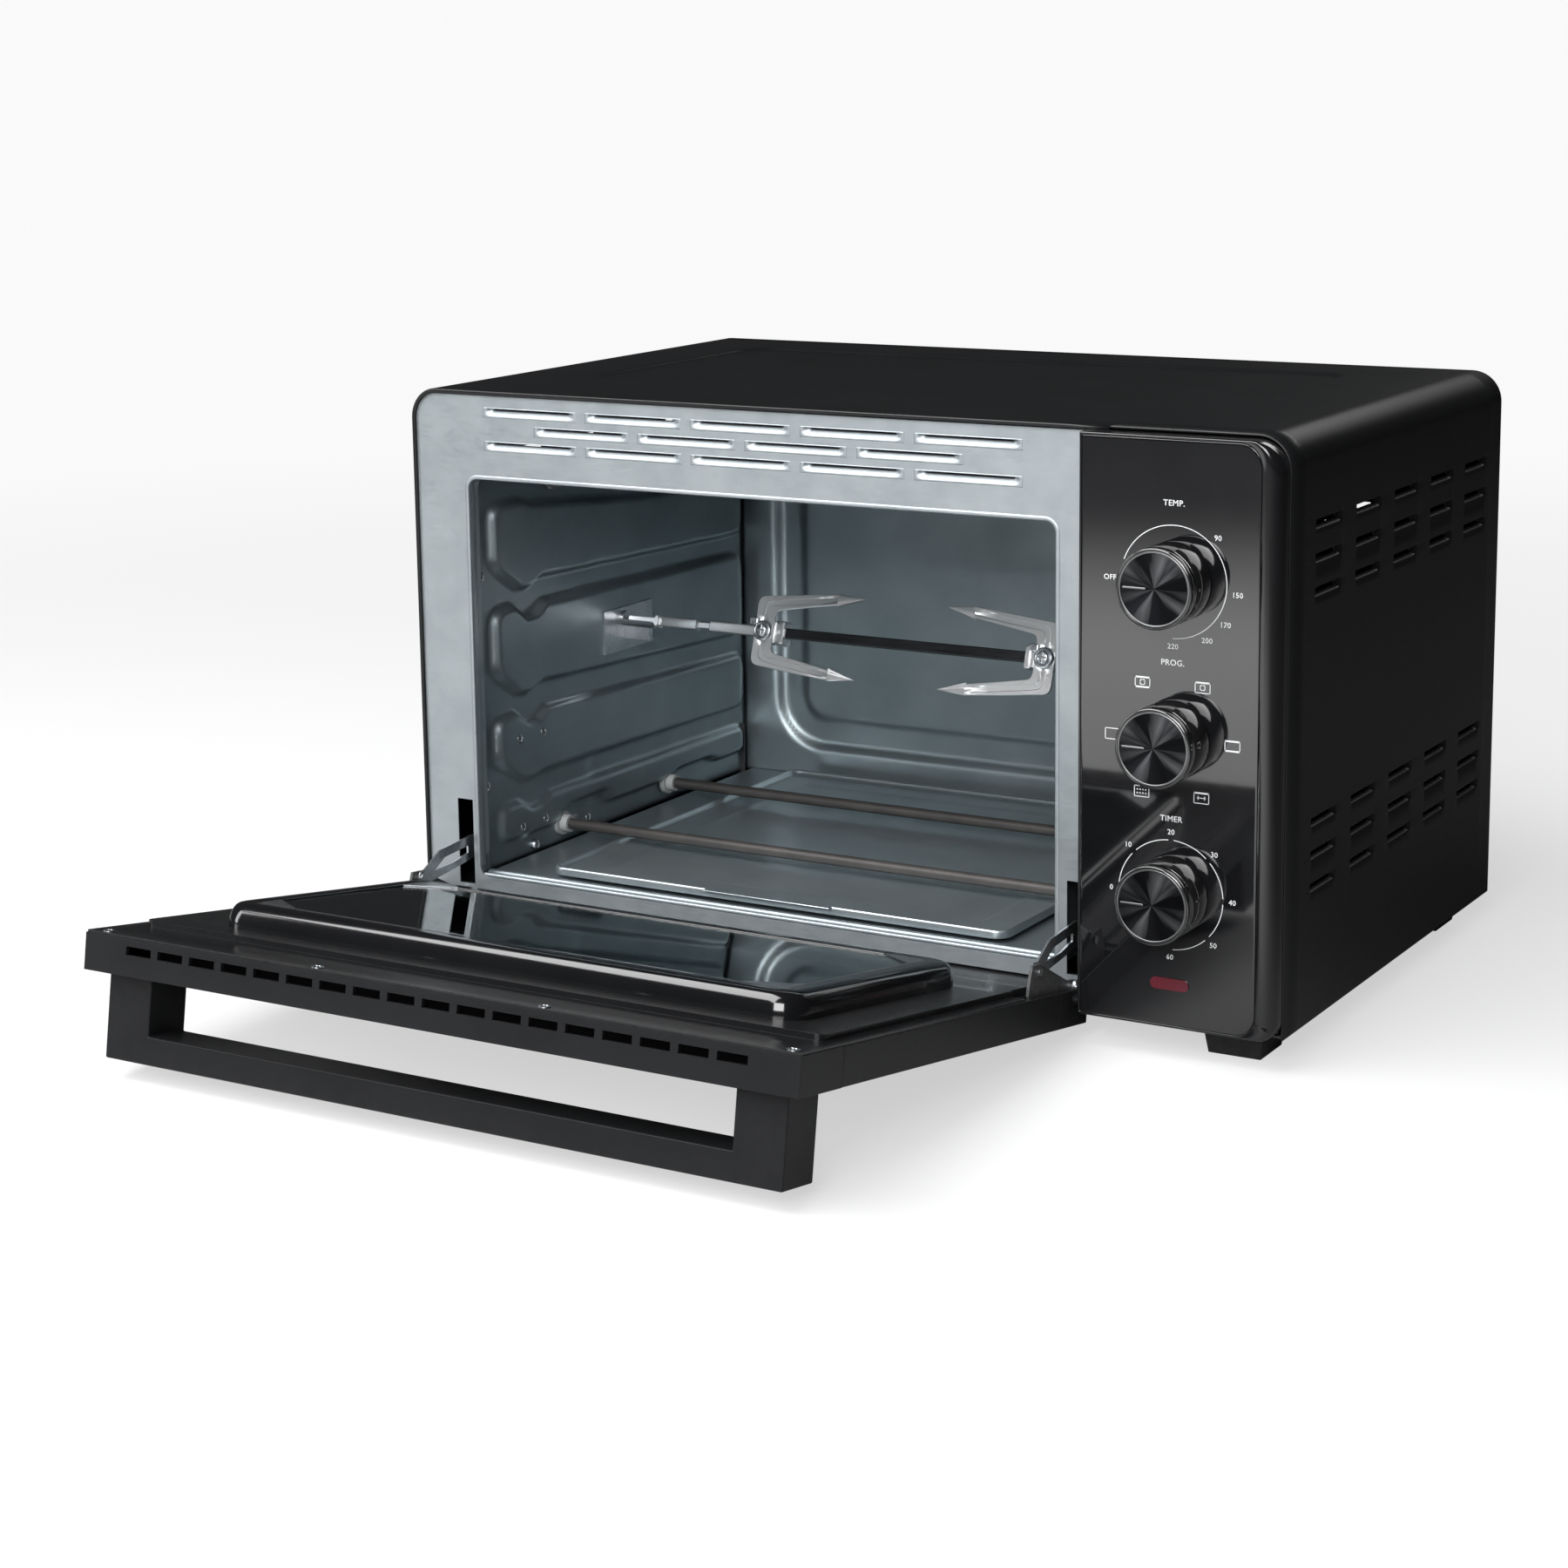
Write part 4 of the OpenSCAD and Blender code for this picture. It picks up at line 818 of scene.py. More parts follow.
@dataclass
class CaseShell:
    """The painted case: one sheet over both sides and the top, with a folded front lip."""

    radius: float = 17.0
    sheet: float = 1.2
    lip: float = 2.7
    panel_left: float = 154.4
    vent_rows: tuple = (255.0, 238.2, 221.4, 105.2, 88.4, 71.6)
    vent_fronts: tuple = (33.0, 88.3, 143.6, 198.9, 254.2)
    vent_size: tuple = (36.0, 5.0)
    vent_deep: float = 3.0
    field: tuple = (-202.0, 78.0, 190.0, 270.0)
    field_radius: float = 20.0
    field_deep: float = 1.5

    def pressed(self, y: np.ndarray, z: np.ndarray) -> np.ndarray:
        """Gives how deep the louvres are pressed into a side.

        Each one slopes in from its lower edge as an eased rise over 2 mm, and its depth fades
        over 1 mm at its front end and over 5 mm at its rear end.

        Args:
            y: Distance back from the front sheet.
            z: Height above the base.

        Returns:
            Depth in millimetres.
        """
        deep = np.zeros(np.broadcast(y, z).shape)
        long, high = self.vent_size
        for top in self.vent_rows:
            v = z - (top - high)
            slope = np.where(v < high + 0.05, ramp(v, -0.2, 2.2), 0.0)
            for front in self.vent_fronts:
                u = y - front
                ends = ramp(u, 0.0, 1.4) * ramp(long - u, 0.0, 5.5)
                deep = np.maximum(deep, self.vent_deep * slope * ends)
        return deep

    def opened(self, y: np.ndarray, z: np.ndarray) -> np.ndarray:
        """Says where the sheet is open, above each louvre's slope and between its ends."""
        long, high = self.vent_size
        hit = np.zeros(np.broadcast(y, z).shape, bool)
        for top in self.vent_rows:
            for front in self.vent_fronts:
                hit |= ((z > top - high + 2.0) & (z < top) & (y > front + 1.5)
                        & (y < front + long - 5.0))
        return hit

    def outline(self) -> tuple[np.ndarray, np.ndarray]:
        """Gives the outline over the left side, the top and the right side, and its normals."""
        low, high = own_box("outer_case")
        half, top, r = high[0], high[2], self.radius
        steps = np.array([0.0, 0.5, 1.0, 1.5, 2.0, 3.5, 5.0, 5.15])
        rows = [t - self.vent_size[1] + steps for t in self.vent_rows]
        side = merged(lines(0.0, 2.0, 60.0, top - r, step=12.0), *rows, apart=0.08)
        side[-1] = top - r
        arc = np.linspace(0, math.pi / 2, 14)[1:-1]
        across = merged(lines(-half + r, half - r, step=26.0),
                        self.field[0] + np.array([-0.5, 0, 0.7, 1.5, 2.3, 3, 4]),
                        self.field[2] - np.array([-0.5, 0, 0.7, 1.5, 2.3, 3, 4]),
                        *(self.field[0] + lines(4, 24, step=2.2),
                          self.field[2] - lines(4, 24, step=2.2)), apart=0.3)
        left = np.stack([np.full_like(side, -half), side], -1)
        bend = np.stack([-half + r - r * np.cos(arc), top - r + r * np.sin(arc)], -1)
        over = np.stack([across, np.full_like(across, top)], -1)
        points = np.concatenate([left, bend, over, bend[::-1] * [-1, 1], left[::-1] * [-1, 1]])
        flat = np.zeros_like(left) + [-1, 0]
        turn = np.stack([-np.cos(arc), np.sin(arc)], -1)
        normal = np.concatenate([flat, turn, np.zeros_like(over) + [0, 1], turn[::-1] * [-1, 1],
                                 -flat])
        return points, normal

    def surface(self) -> Patch:
        """Builds the sheet: the outline carried back, pressed in by louvres and the top field.

        Returns:
            The sheet's outer surface.
        """
        points, normal = self.outline()
        back = own_box("outer_case")[1][1]
        steps = np.array([0.0, 0.5, 1.0, 1.5, 2.2, 3.4, 6.0, 18.0, 29.5, 31.0, 32.5, 33.8, 34.8,
                          35.4, 36.0])
        y0, y1 = self.field[1], self.field[3]
        edge = np.array([-0.5, 0, 0.7, 1.5, 2.3, 3, 4])
        deep_lines = merged(lines(0.0, back, step=20.0),
                            *[front + steps for front in self.vent_fronts],
                            y0 + edge, y1 - edge, y0 + lines(4, 24, step=2.4),
                            y1 - lines(4, 24, step=2.4), apart=0.25)
        y = deep_lines[None, :]
        x, z = points[:, :1], points[:, 1:]
        on_side = np.abs(normal[:, :1]) > 0.999
        deep = np.where(on_side, self.pressed(y, z), 0.0)
        on_top = np.abs(normal[:, 1:]) > 0.999
        dished = self.field_deep * ramp(inside(x, y, self.field, self.field_radius), 0.0, 3.0)
        deep = deep + np.where(on_top, dished, 0.0)
        face = np.stack([x - normal[:, :1] * deep, y + 0 * x, z - normal[:, 1:] * deep], -1)
        fold = np.array([(self.lip, -1.2), (0.9, -1.2), (0.35, -1.02), (0.08, -0.6)])
        rim = np.stack([x - normal[:, :1] * fold[:, 0], 0 * x + fold[:, 1],
                        z - normal[:, 1:] * fold[:, 0]], -1)
        sheet = np.concatenate([rim, face], 1)
        middle = (sheet[:-1, :-1] + sheet[1:, 1:]) / 2
        keep = ~(self.opened(middle[..., 1], middle[..., 2]) & (on_side[:-1]))
        keep &= ~((middle[..., 1] < 0) & (middle[..., 0] > self.panel_left))
        return Patch.grid(sheet, keep=keep)

    def build(self) -> None:
        """Builds and dresses the case."""
        piece = Piece("case_shell", "root", CASE_PAINT, "black_case", ("outer_case",))
        obj = piece.build(self.surface().flipped(), wall=self.sheet, shell=False, angle=50)
        check_outward(obj)


def check_outward(obj: bpy.types.Object) -> None:
    """Turns an open sheet's faces over where most of them look at the piece's own middle."""
    mesh = obj.data
    count = len(mesh.polygons)
    centre, normal, area = np.zeros(count * 3), np.zeros(count * 3), np.zeros(count)
    mesh.polygons.foreach_get("center", centre)
    mesh.polygons.foreach_get("normal", normal)
    mesh.polygons.foreach_get("area", area)
    centre, normal = centre.reshape(-1, 3), normal.reshape(-1, 3)
    middle = (centre.min(0) + centre.max(0)) / 2
    if ((normal * (centre - middle)).sum(1) * area).sum() < 0:
        mesh.flip_normals()


# ---- front sheet ------------------------------------------------------------------------------


@dataclass
class FrontSheet:
    """The zinc-coated front: its louvres, the bead round the mouth and the rolled sill."""

    mouth: tuple = (-224.0, 22.7, 136.7, 250.5)
    mouth_radius: float = 6.0
    slot: tuple = (60.0, 4.6)
    slot_tops: tuple = (290.3, 280.95, 271.6)
    slot_counts: tuple = (5, 4, 5)
    slot_pitch: float = 67.3
    slot_middle: float = -47.05
    deep: float = 2.4
    open_from: float = 3.6

    def scoop(self) -> Patch:
        """Builds one louvre with its lower left corner at the origin.

        It slopes in from its lower edge as an eased rise, fades over 5 mm from its half-round
        ends, and is open above the slope.

        Returns:
            The louvre with a narrow flange round it.
        """
        long, high = self.slot
        u = merged(np.array([-0.7, 0, 0.3, 0.7, 1.2, 1.8, 2.6, 3.6, 4.8, 6.0, 8.0]),
                   lines(8, long - 8, step=9.0),
                   long - np.array([-0.7, 0, 0.3, 0.7, 1.2, 1.8, 2.6, 3.6, 4.8, 6.0, 8.0]))
        v = np.array([-0.5, 0.0, 0.35, 0.8, 1.4, 2.0, 2.8, self.open_from, 4.1, high, high + 0.12,
                      high + 0.5])
        uu, vv = u[:, None], v[None, :]
        round_end = high / 2 - np.sqrt(np.clip((high / 2) ** 2 - (vv - high / 2) ** 2, 0, None))
        from_end = np.minimum(uu, long - uu) - round_end
        slope = np.where(vv < high + 0.05, ramp(vv, -0.1, self.open_from + 0.3), 0.0)
        depth = self.deep * slope * ramp(from_end, 0.0, 4.5)
        points = np.stack([uu + 0 * vv, depth - 0.03, vv + 0 * uu], -1)
        middle = (from_end[:-1, :-1] + from_end[1:, 1:]) / 2
        height = (v[:-1] + v[1:])[None, :] / 2
        keep = ~((middle > 4.0) & (height > self.open_from) & (height < high))
        return Patch.grid(points, keep=keep)

    def louvres(self) -> Patch:
        """Sets a louvre at every slot of the three rows."""
        one, (long, high) = self.scoop(), self.slot
        made = []
        for top, count in zip(self.slot_tops, self.slot_counts):
            for k in range(count):
                x = self.slot_middle + (k - (count - 1) / 2) * self.slot_pitch - long / 2
                made.append(one.shifted((x, 0.0, top - high)))
        return together(made)

    def bead(self) -> Patch:
        """Builds the rolled edge of the mouth as a profile carried round its outline."""
        x0, z0, x1, z1 = self.mouth
        profile = [(0.9, 6.0), (-0.12, 5.4), (-0.15, 0.4), (0.05, -0.12), (0.5, -0.36), (1.1, -0.4),
                   (1.7, -0.28), (2.3, 0.02), (2.4, 0.4)]
        outlines = [loop((x0 - t, z0 - t, x1 + t, z1 + t), self.mouth_radius + t, 10)
                    for t, _ in profile]
        made = nest(outlines, [y for _, y in profile], closed=True)
        low = made.points[made.quads][..., 2].max(1) < self.mouth[1] + 8
        return Patch(made.points, made.quads[~low])

    def build(self) -> None:
        """Builds and dresses the front."""
        louvres = Piece("front_louvres", "root", ZINC_FRONT, "galvanised_front")
        louvres.build(self.louvres(), wall=0.5, shell=False, angle=60)
        bead = Piece("mouth_bead", "root", ZINC_FRONT, "galvanised_front")
        bead.build(self.bead(), shell=False, angle=60)
        sill = Piece("sill_roll", "root", ZINC_FRONT, "galvanised_front")
        x0, z0, x1, _ = self.mouth
        sill.build(lathe([(0, x0 + 1.5), (1.1, x0 + 1.5), (1.1, x1 - 1.5), (0, x1 - 1.5)],
                         (2.2, z0 + 0.9), 16, "x"))


# ---- chamber ------------------------------------------------------------------------------------


def soft_min(*values: np.ndarray, blend: float = 6.0) -> np.ndarray:
    """Gives the least of several fields, rounded where two meet, as a smooth minimum."""
    made = values[0]
    for value in values[1:]:
        share = np.clip(0.5 + 0.5 * (made - value) / blend, 0, 1)
        made = made * (1 - share) + value * share - blend * share * (1 - share)
    return made


@dataclass
class Chamber:
    """The steel chamber: its pressed walls, tray, screws and rivets."""

    wall: float = -226.0
    front: float = 1.5
    back: float = 302.0
    top: float = 252.5
    low: float = 22.0
    channel: float = 5.2
    gutter: float = 25.0
    steel: float = 0.8

    # Upper and lower edges of the three shelf channels, as (distance back, height)
    upper: tuple = (
        ((20, 196), (28, 193), (50, 179), (60, 178), (72, 183), (304, 176.5)),
        ((20, 134), (28, 131), (48, 118), (58, 117), (70, 121.5), (304, 111.5)),
        ((20, 82), (28, 79), (48, 67), (58, 66), (70, 68.5), (304, 64.5)))
    lower: tuple = (
        ((20, 171), (45, 172), (56, 164), (66, 164), (76, 170), (304, 166)),
        ((20, 108), (45, 109), (56, 102), (66, 102), (76, 107.5), (304, 100.5)),
        ((20, 56), (45, 57), (56, 51.5), (66, 51.5), (76, 56), (304, 53.5)))

    def relief(self, y: np.ndarray, z: np.ndarray) -> np.ndarray:
        """Gives how far the left wall stands from its channels' floor.

        Four plates stand proud. A plate is the smooth least of the distances from the gutter at
        the front, from the channel above it and from the one below it, and its edge is an eased
        rise over 4 mm.

        Args:
            y: Distance back from the front sheet.
            z: Height above the base.

        Returns:
            Height above the channels' floor in millimetres.
        """
        def edge(points: tuple) -> np.ndarray:
            """Gives the height of a channel's edge at y, joined by straight lines."""
            return np.interp(y, *np.array(points, float).T) + 0 * z

        ups = [edge(u) for u in self.upper]
        lows = [edge(k) for k in self.lower]
        roof = np.interp(y, [20, 55, 63, 180, 304], [232, 232, 229, 218, 214]) + 0 * z
        floor = np.interp(y, [20, 84, 92, 132, 140, 206, 214, 252, 260, 304],
                          [34, 34, 43, 43, 35, 35, 39, 39, 35, 35]) + 0 * z
        tops, bottoms = [roof, *lows], [*ups, floor]
        plates = [soft_min(y - self.gutter + 0 * z, t - z, z - b, self.back - 6 - y + 0 * z,
                           blend=9.0) for t, b in zip(tops, bottoms)]
        return self.channel * ramp(np.max(plates, 0), -0.8, 3.4)

    def left_wall(self) -> Patch:
        """Builds the left wall from its relief."""
        y = merged(lines(self.front, 18, 84, step=1.6), lines(84, self.back, step=4.0), apart=0.4)
        z = lines(self.low, self.top, step=1.5)
        yy, zz = y[:, None], z[None, :]
        lever = ramp(80 - zz, 0, 8) * ramp(126 - yy, 0, 12)
        x = self.wall - (self.channel - self.relief(yy, zz)) * (1 - 0.36 * lever)
        flange = 1 - ramp(np.minimum(yy + 0 * zz, 20), 12, 17)
        x = x + (self.wall - 0.2 - x) * flange
        return Patch.grid(np.stack([x, yy + 0 * zz, zz + 0 * yy], -1))

    def back_wall(self) -> Patch:
        """Builds the back wall, with a band sunk 5 mm and a middle raised 1.5 mm."""
        x0, x1 = self.wall - 5.0, 139.3
        x = merged(lines(x0, x0 + 62, step=2.2), lines(x0 + 62, x1 - 60, step=12),
                   lines(x1 - 60, x1, step=2.2), apart=0.4)
        z = merged(lines(self.low, 80, step=2.0), lines(80, 200, step=8), lines(200, 253, step=2.0),
                   apart=0.4)
        xx, zz = x[:, None], z[None, :]
        outer = ramp(inside(xx, zz, (-209.0, 38.0, 121.7, 238.0), 35.0), 0.0, 7.0)
        inner = ramp(inside(xx, zz, (-190.0, 57.0, 102.7, 219.0), 18.0), 0.0, 5.0)
        return Patch.grid(np.stack([xx + 0 * zz, self.back + 5 * outer - 1.8 * inner,
                                    zz + 0 * xx], -1))

    def tray(self) -> Patch:
        """Builds the crumb tray as a profile of inset and height carried round its outline."""
        low, high = own_box("crumb_tray")
        x0, x1, y0, y1, z = low[0], high[0], 16.0, high[1], low[2]
        profile = [(0.0, 0.1), (0.0, 3.4), (0.35, 4.3), (1.1, 4.6), (1.9, 4.35), (2.5, 3.6),
                   (3.1, 2.1), (4.2, 1.7), (5.0, 1.7), (22.0, 1.7), (23.0, 1.7), (24.6, 1.2),
                   (26.4, 0.9), (29.0, 0.9)]
        outlines = [loop((x0 + t, y0 + t, x1 - t, y1 - t), max(9.0 - t, 2.5), 8)
                    for t, _ in profile]
        heights = [z + h for _, h in profile]
        middle = np.zeros_like(outlines[0]) + [(x0 + x1) / 2, (y0 + y1) / 2]
        made = nest([middle, *outlines, middle], [z + 0.1, *heights, heights[-1]])
        tab = block(((x0 + x1) / 2 - 40, z + 3.8, 13.0), ((x0 + x1) / 2 + 40, z + 4.6, 16.6))
        return Patch((made + tab).points[:, [0, 2, 1]], (made + tab).quads)

    def build(self) -> None:
        """Builds and dresses the chamber's own pieces."""
        Piece("left_wall", "root", CHAMBER_STEEL, "chamber_steel", ("chamber_left_wall",)).build(
            self.left_wall(), wall=self.steel, shell=False, angle=60)
        Piece("back_wall", "root", CHAMBER_STEEL, "chamber_steel", ("chamber_back",)).build(
            self.back_wall(), wall=self.steel, shell=False, angle=60)
        Piece("tray", "root", TRAY_STEEL, "tray_steel", ("crumb_tray",)).build(
            self.tray(), angle=50)
        screws = [cross_screw((self.wall - 0.2, 11.3, z), 2.9, 1.6, "x") for z in (192.9, 72.2)]
        screws.append(cross_screw((self.wall - 3.0, 60.0, 27.0), 3.1, 3.4, "x"))
        rivets = [cross_screw((self.wall - 0.3, y, z), 2.4, 1.4, "x")
                  for y, z in ((44.7, 93.4), (68.5, 92.8), (45.6, 41.0), (68.5, 41.0), (112.0, 32.0))]
        Piece("wall_screws", "root", ZINC_PARTS, "zinc_parts", ("chamber_rivets",)).build(
            together(screws + rivets), shell=False, angle=35)


# ---- control panel ------------------------------------------------------------------------------


@dataclass
class Lettering:
    """Flat shapes on the panel: words, numbers, arcs and pictures, gathered as one mesh."""

    depth: float = -11.43

    def __post_init__(self) -> None:
        """Starts with nothing drawn."""
        self.points: list[np.ndarray] = []
        self.faces: list[tuple] = []

    def _add(self, flat: np.ndarray, faces: list) -> None:
        """Adds flat (x, z) points and their faces on the panel's front."""
        start = sum(len(p) for p in self.points)
        made = np.stack([flat[:, 0], np.full(len(flat), self.depth), flat[:, 1]], -1)
        self.points.append(made)
        self.faces += [tuple(start + k for k in face) for face in faces]

    def word(self, text: str, centre: tuple, height: float) -> None:
        """Draws a word or number.

        Args:
            text: What to draw.
            centre: Its middle in X and Z.
            height: Its capitals' height in millimetres.
        """
        curve = bpy.data.curves.new("word", "FONT")
        curve.body = text
        curve.align_x = "CENTER"
        curve.align_y = "CENTER"
        curve.size = height / 0.7
        curve.resolution_u = 3
        curve.space_character = 1.06
        curve.offset = 0.012 * height
        holder = bpy.data.objects.new("word", curve)
        mesh = holder.to_mesh()
        co = np.zeros(len(mesh.vertices) * 3)
        mesh.vertices.foreach_get("co", co)
        flat = co.reshape(-1, 3)[:, :2] + np.array(centre)
        self._add(flat, [tuple(p.vertices) for p in mesh.polygons])
        holder.to_mesh_clear()
        bpy.data.objects.remove(holder)
        bpy.data.curves.remove(curve)

    def arc(self, centre: tuple, radius: float, start: float, end: float, wide: float) -> None:
        """Draws part of a ring, from start to end in degrees anticlockwise from +X."""
        angle = np.radians(np.linspace(start, end, max(2, int(abs(end - start) / 3) + 1)))
        spoke = np.stack([np.cos(angle), np.sin(angle)], -1)
        flat = np.concatenate([spoke * (radius - wide / 2), spoke * (radius + wide / 2)]) + centre
        n = len(angle)
        self._add(flat, [(k, k + 1, n + k + 1, n + k) for k in range(n - 1)])

    def bar(self, x0: float, z0: float, x1: float, z1: float) -> None:
        """Draws an upright rectangle."""
        self._add(np.array([(x0, z0), (x1, z0), (x1, z1), (x0, z1)], float), [(0, 1, 2, 3)])

    def frame(self, centre: tuple, size: tuple, wide: float, top: float, low: float) -> None:
        """Draws a rectangle's outline, with the widths of its top and lower lines of their own."""
        (x, z), (a, b) = centre, (size[0] / 2, size[1] / 2)
        self.bar(x - a, z - b, x - a + wide, z + b)
        self.bar(x + a - wide, z - b, x + a, z + b)
        self.bar(x - a, z + b - top, x + a, z + b)
        self.bar(x - a, z - b, x + a, z - b + low)


class Mode(Enum):
    """The pictures round the programme dial, each at its own angle in degrees."""

    OVEN_FAN = 120
    FAN = 60
    BOTH_RODS = 0
    SPIT = -60
    DEFROST = -120
    OFF = 180


@dataclass
class ControlPanel:
    """The moulded fascia, its black pane and the prints round the three dials."""

    low: tuple = (154.7, 1.5)
    high: tuple = (260.5, 298.0)
    deep: float = 11.4
    pane: tuple = (156.2, 3.0, 250.5, 296.5)
    corners: tuple = (8.0, 16.5, 0.5, 0.5)
    pane_corners: tuple = (11.0, 11.0, 0.5, 0.5)
    dial_x: float = 205.4
    dial_z: tuple = (227.0, 148.55, 70.1)
    ring: float = 27.9

    def fascia(self) -> Patch:
        """Builds the fascia as a closed profile round its outline.

        The front edge is a quarter arc whose radius is 0.8 mm, and grows with the square of
        the outline's rightward lean to 8 mm at the right.

        Returns:
            The patch.
        """
        outer = loop((*self.low, *self.high), self.corners, 10)
        arc = np.linspace(0, math.pi / 2, 11)
        angle = np.concatenate([arc + (k - 1) * math.pi / 2 for k in range(4)])
        normal = np.stack([np.cos(angle), np.sin(angle)], -1)
        reach = 0.8 + 7.2 * np.clip(normal[:, 0], 0, 1) ** 2
        outlines, heights = [outer], [np.full(len(outer), -0.05)]
        for turn in np.linspace(0, math.pi / 2, 9):
            outlines.append(outer - normal * (reach * (1 - math.cos(turn)))[:, None])
            heights.append(-self.deep + reach * (1 - math.sin(turn)))
        x0, z0, x1, z1 = self.pane

        def opening(t: float) -> np.ndarray:
            """Gives the pane's outline, let out by t."""
            radii = tuple(r + t if r > 1 else r for r in self.pane_corners)
            return loop((x0 - t, z0 - t, x1 + t, z1 + t), radii, 10)

        inner = outer - normal * 2.4
        for outline, y in ((opening(0.35), -self.deep), (opening(0.12), -self.deep + 0.2),
                           (opening(0.1), -9.9), (opening(-2.4), -9.8), (opening(-2.4), -8.0),
                           (inner, -8.0), (inner, -0.05)):
            outlines.append(outline)
            heights.append(np.full(len(outer), y))
        return nest(outlines, heights, closed=True)

    def glass(self) -> Patch:
        """Builds the pane as a plate with a fine round edge."""
        x0, z0, x1, z1 = self.pane
        profile = [(1.5, -9.95), (0.1, -9.95), (0.1, -11.13), (0.18, -11.3), (0.35, -11.39),
                   (1.2, -11.39), (9.0, -11.39)]
        outlines = [loop((x0 + t, z0 + t, x1 - t, z1 - t),
                         tuple(max(r - t, 0.4) for r in self.pane_corners), 10) for t, _ in profile]
        middle = np.zeros_like(outlines[0]) + [(x0 + x1) / 2, (z0 + z1) / 2]
        return nest([middle, *outlines, middle],
                    [profile[0][1], *[y for _, y in profile], profile[-1][1]])

    def prints(self) -> Lettering:
        """Draws the words, numbers, rings and pictures of the three dials."""
        drawn = Lettering()
        x, (temp, prog, time) = self.dial_x, self.dial_z
        for text, z in (("TEMP.", 265.6), ("PROG.", 187.0), ("TIMER", 108.7)):
            drawn.word(text, (x, z), 2.9)
        at = 31.9
        marks = [(temp, {180: "OFF", 45: "90", -7: "150", -35: "170", -57: "200", -90: "220"}),
                 (time, {180: "0", 135: "10", 90: "20", 45: "30", 0: "40", -45: "50", -90: "60"})]
        for z, names in marks:
            for angle, text in names.items():
                lean = math.radians(angle)
                out = at + 0.9 * abs(math.cos(lean)) * (len(text) - 1)
                drawn.word(text, (x + out * math.cos(lean), z + out * math.sin(lean)), 2.6)
        drawn.arc((x, temp), self.ring, -90, 160, 0.42)
        for start in range(-90, 180, 45):
            drawn.arc((x, time), self.ring, start + 3, start + 42, 0.42)
        for mode in Mode:
            self.picture(drawn, mode, prog)
        return drawn

    def picture(self, drawn: Lettering, mode: Mode, z: float) -> None:
        """Draws one picture of the programme dial.

        Args:
            drawn: Where it is drawn.
            mode: Which picture.
            z: The dial's height.
        """
        lean = math.radians(mode.value)
        c = (self.dial_x + 31.8 * math.cos(lean), z + 31.8 * math.sin(lean))
        thick = {Mode.OVEN_FAN: (0.9, 0.9), Mode.BOTH_RODS: (0.9, 0.9), Mode.SPIT: (0.9, 0.4),
                 Mode.FAN: (0.9, 0.4)}.get(mode, (0.4, 0.4))
        drawn.frame(c, (8.2, 5.8), 0.4, *thick)
        if mode in (Mode.OVEN_FAN, Mode.FAN):
            for blade in range(4):
                turn = math.radians(45 + 90 * blade)
                drawn.arc((c[0] + 0.75 * math.cos(turn), c[1] + 0.75 * math.sin(turn)), 0.7,
                          math.degrees(turn) - 80, math.degrees(turn) + 80, 0.42)
        elif mode is Mode.SPIT:
            drawn.bar(c[0] - 2.4, c[1] - 0.2, c[0] + 2.4, c[1] + 0.2)
            for side in (-1, 1):
                drawn.bar(c[0] + side * 1.7 - 0.25, c[1] - 0.9, c[0] + side * 1.7 + 0.25, c[1] + 0.9)
        elif mode is Mode.DEFROST:
            for k in range(4):
                drawn.bar(c[0] - 2.7 + k * 1.5, c[1] + 0.6, c[0] - 2.0 + k * 1.5, c[1] + 1.2)
                drawn.bar(c[0] - 2.7 + k * 1.5, c[1] - 1.2, c[0] - 2.0 + k * 1.5, c[1] - 0.6)

    def build(self) -> None:
        """Builds and dresses the fascia, the pane and the prints."""
        Piece("fascia", "root", PANEL_GLOSS, "gloss_black", ("control_fascia",)).build(
            self.fascia(), angle=50)
        Piece("pane", "root", PANE_BLACK, "panel_pane", ("panel_glass",)).build(
            self.glass(), angle=50)
        drawn = self.prints()
        mesh = plain_mesh(CASE(np.concatenate(drawn.points)), drawn.faces, "panel_prints")
        front = np.zeros(len(mesh.polygons) * 3)
        mesh.polygons.foreach_get("normal", front)
        work = bmesh.new()
        work.from_mesh(mesh)
        bmesh.ops.reverse_faces(work, faces=[f for f in work.faces if f.normal.y > 0])
        work.to_mesh(mesh)
        work.free()
        obj = bpy.data.objects.new("panel_prints", mesh)
        bpy.context.scene.collection.objects.link(obj)
        Piece("panel_prints", "root", PRINT_WHITE, "panel_pane").hang(obj)


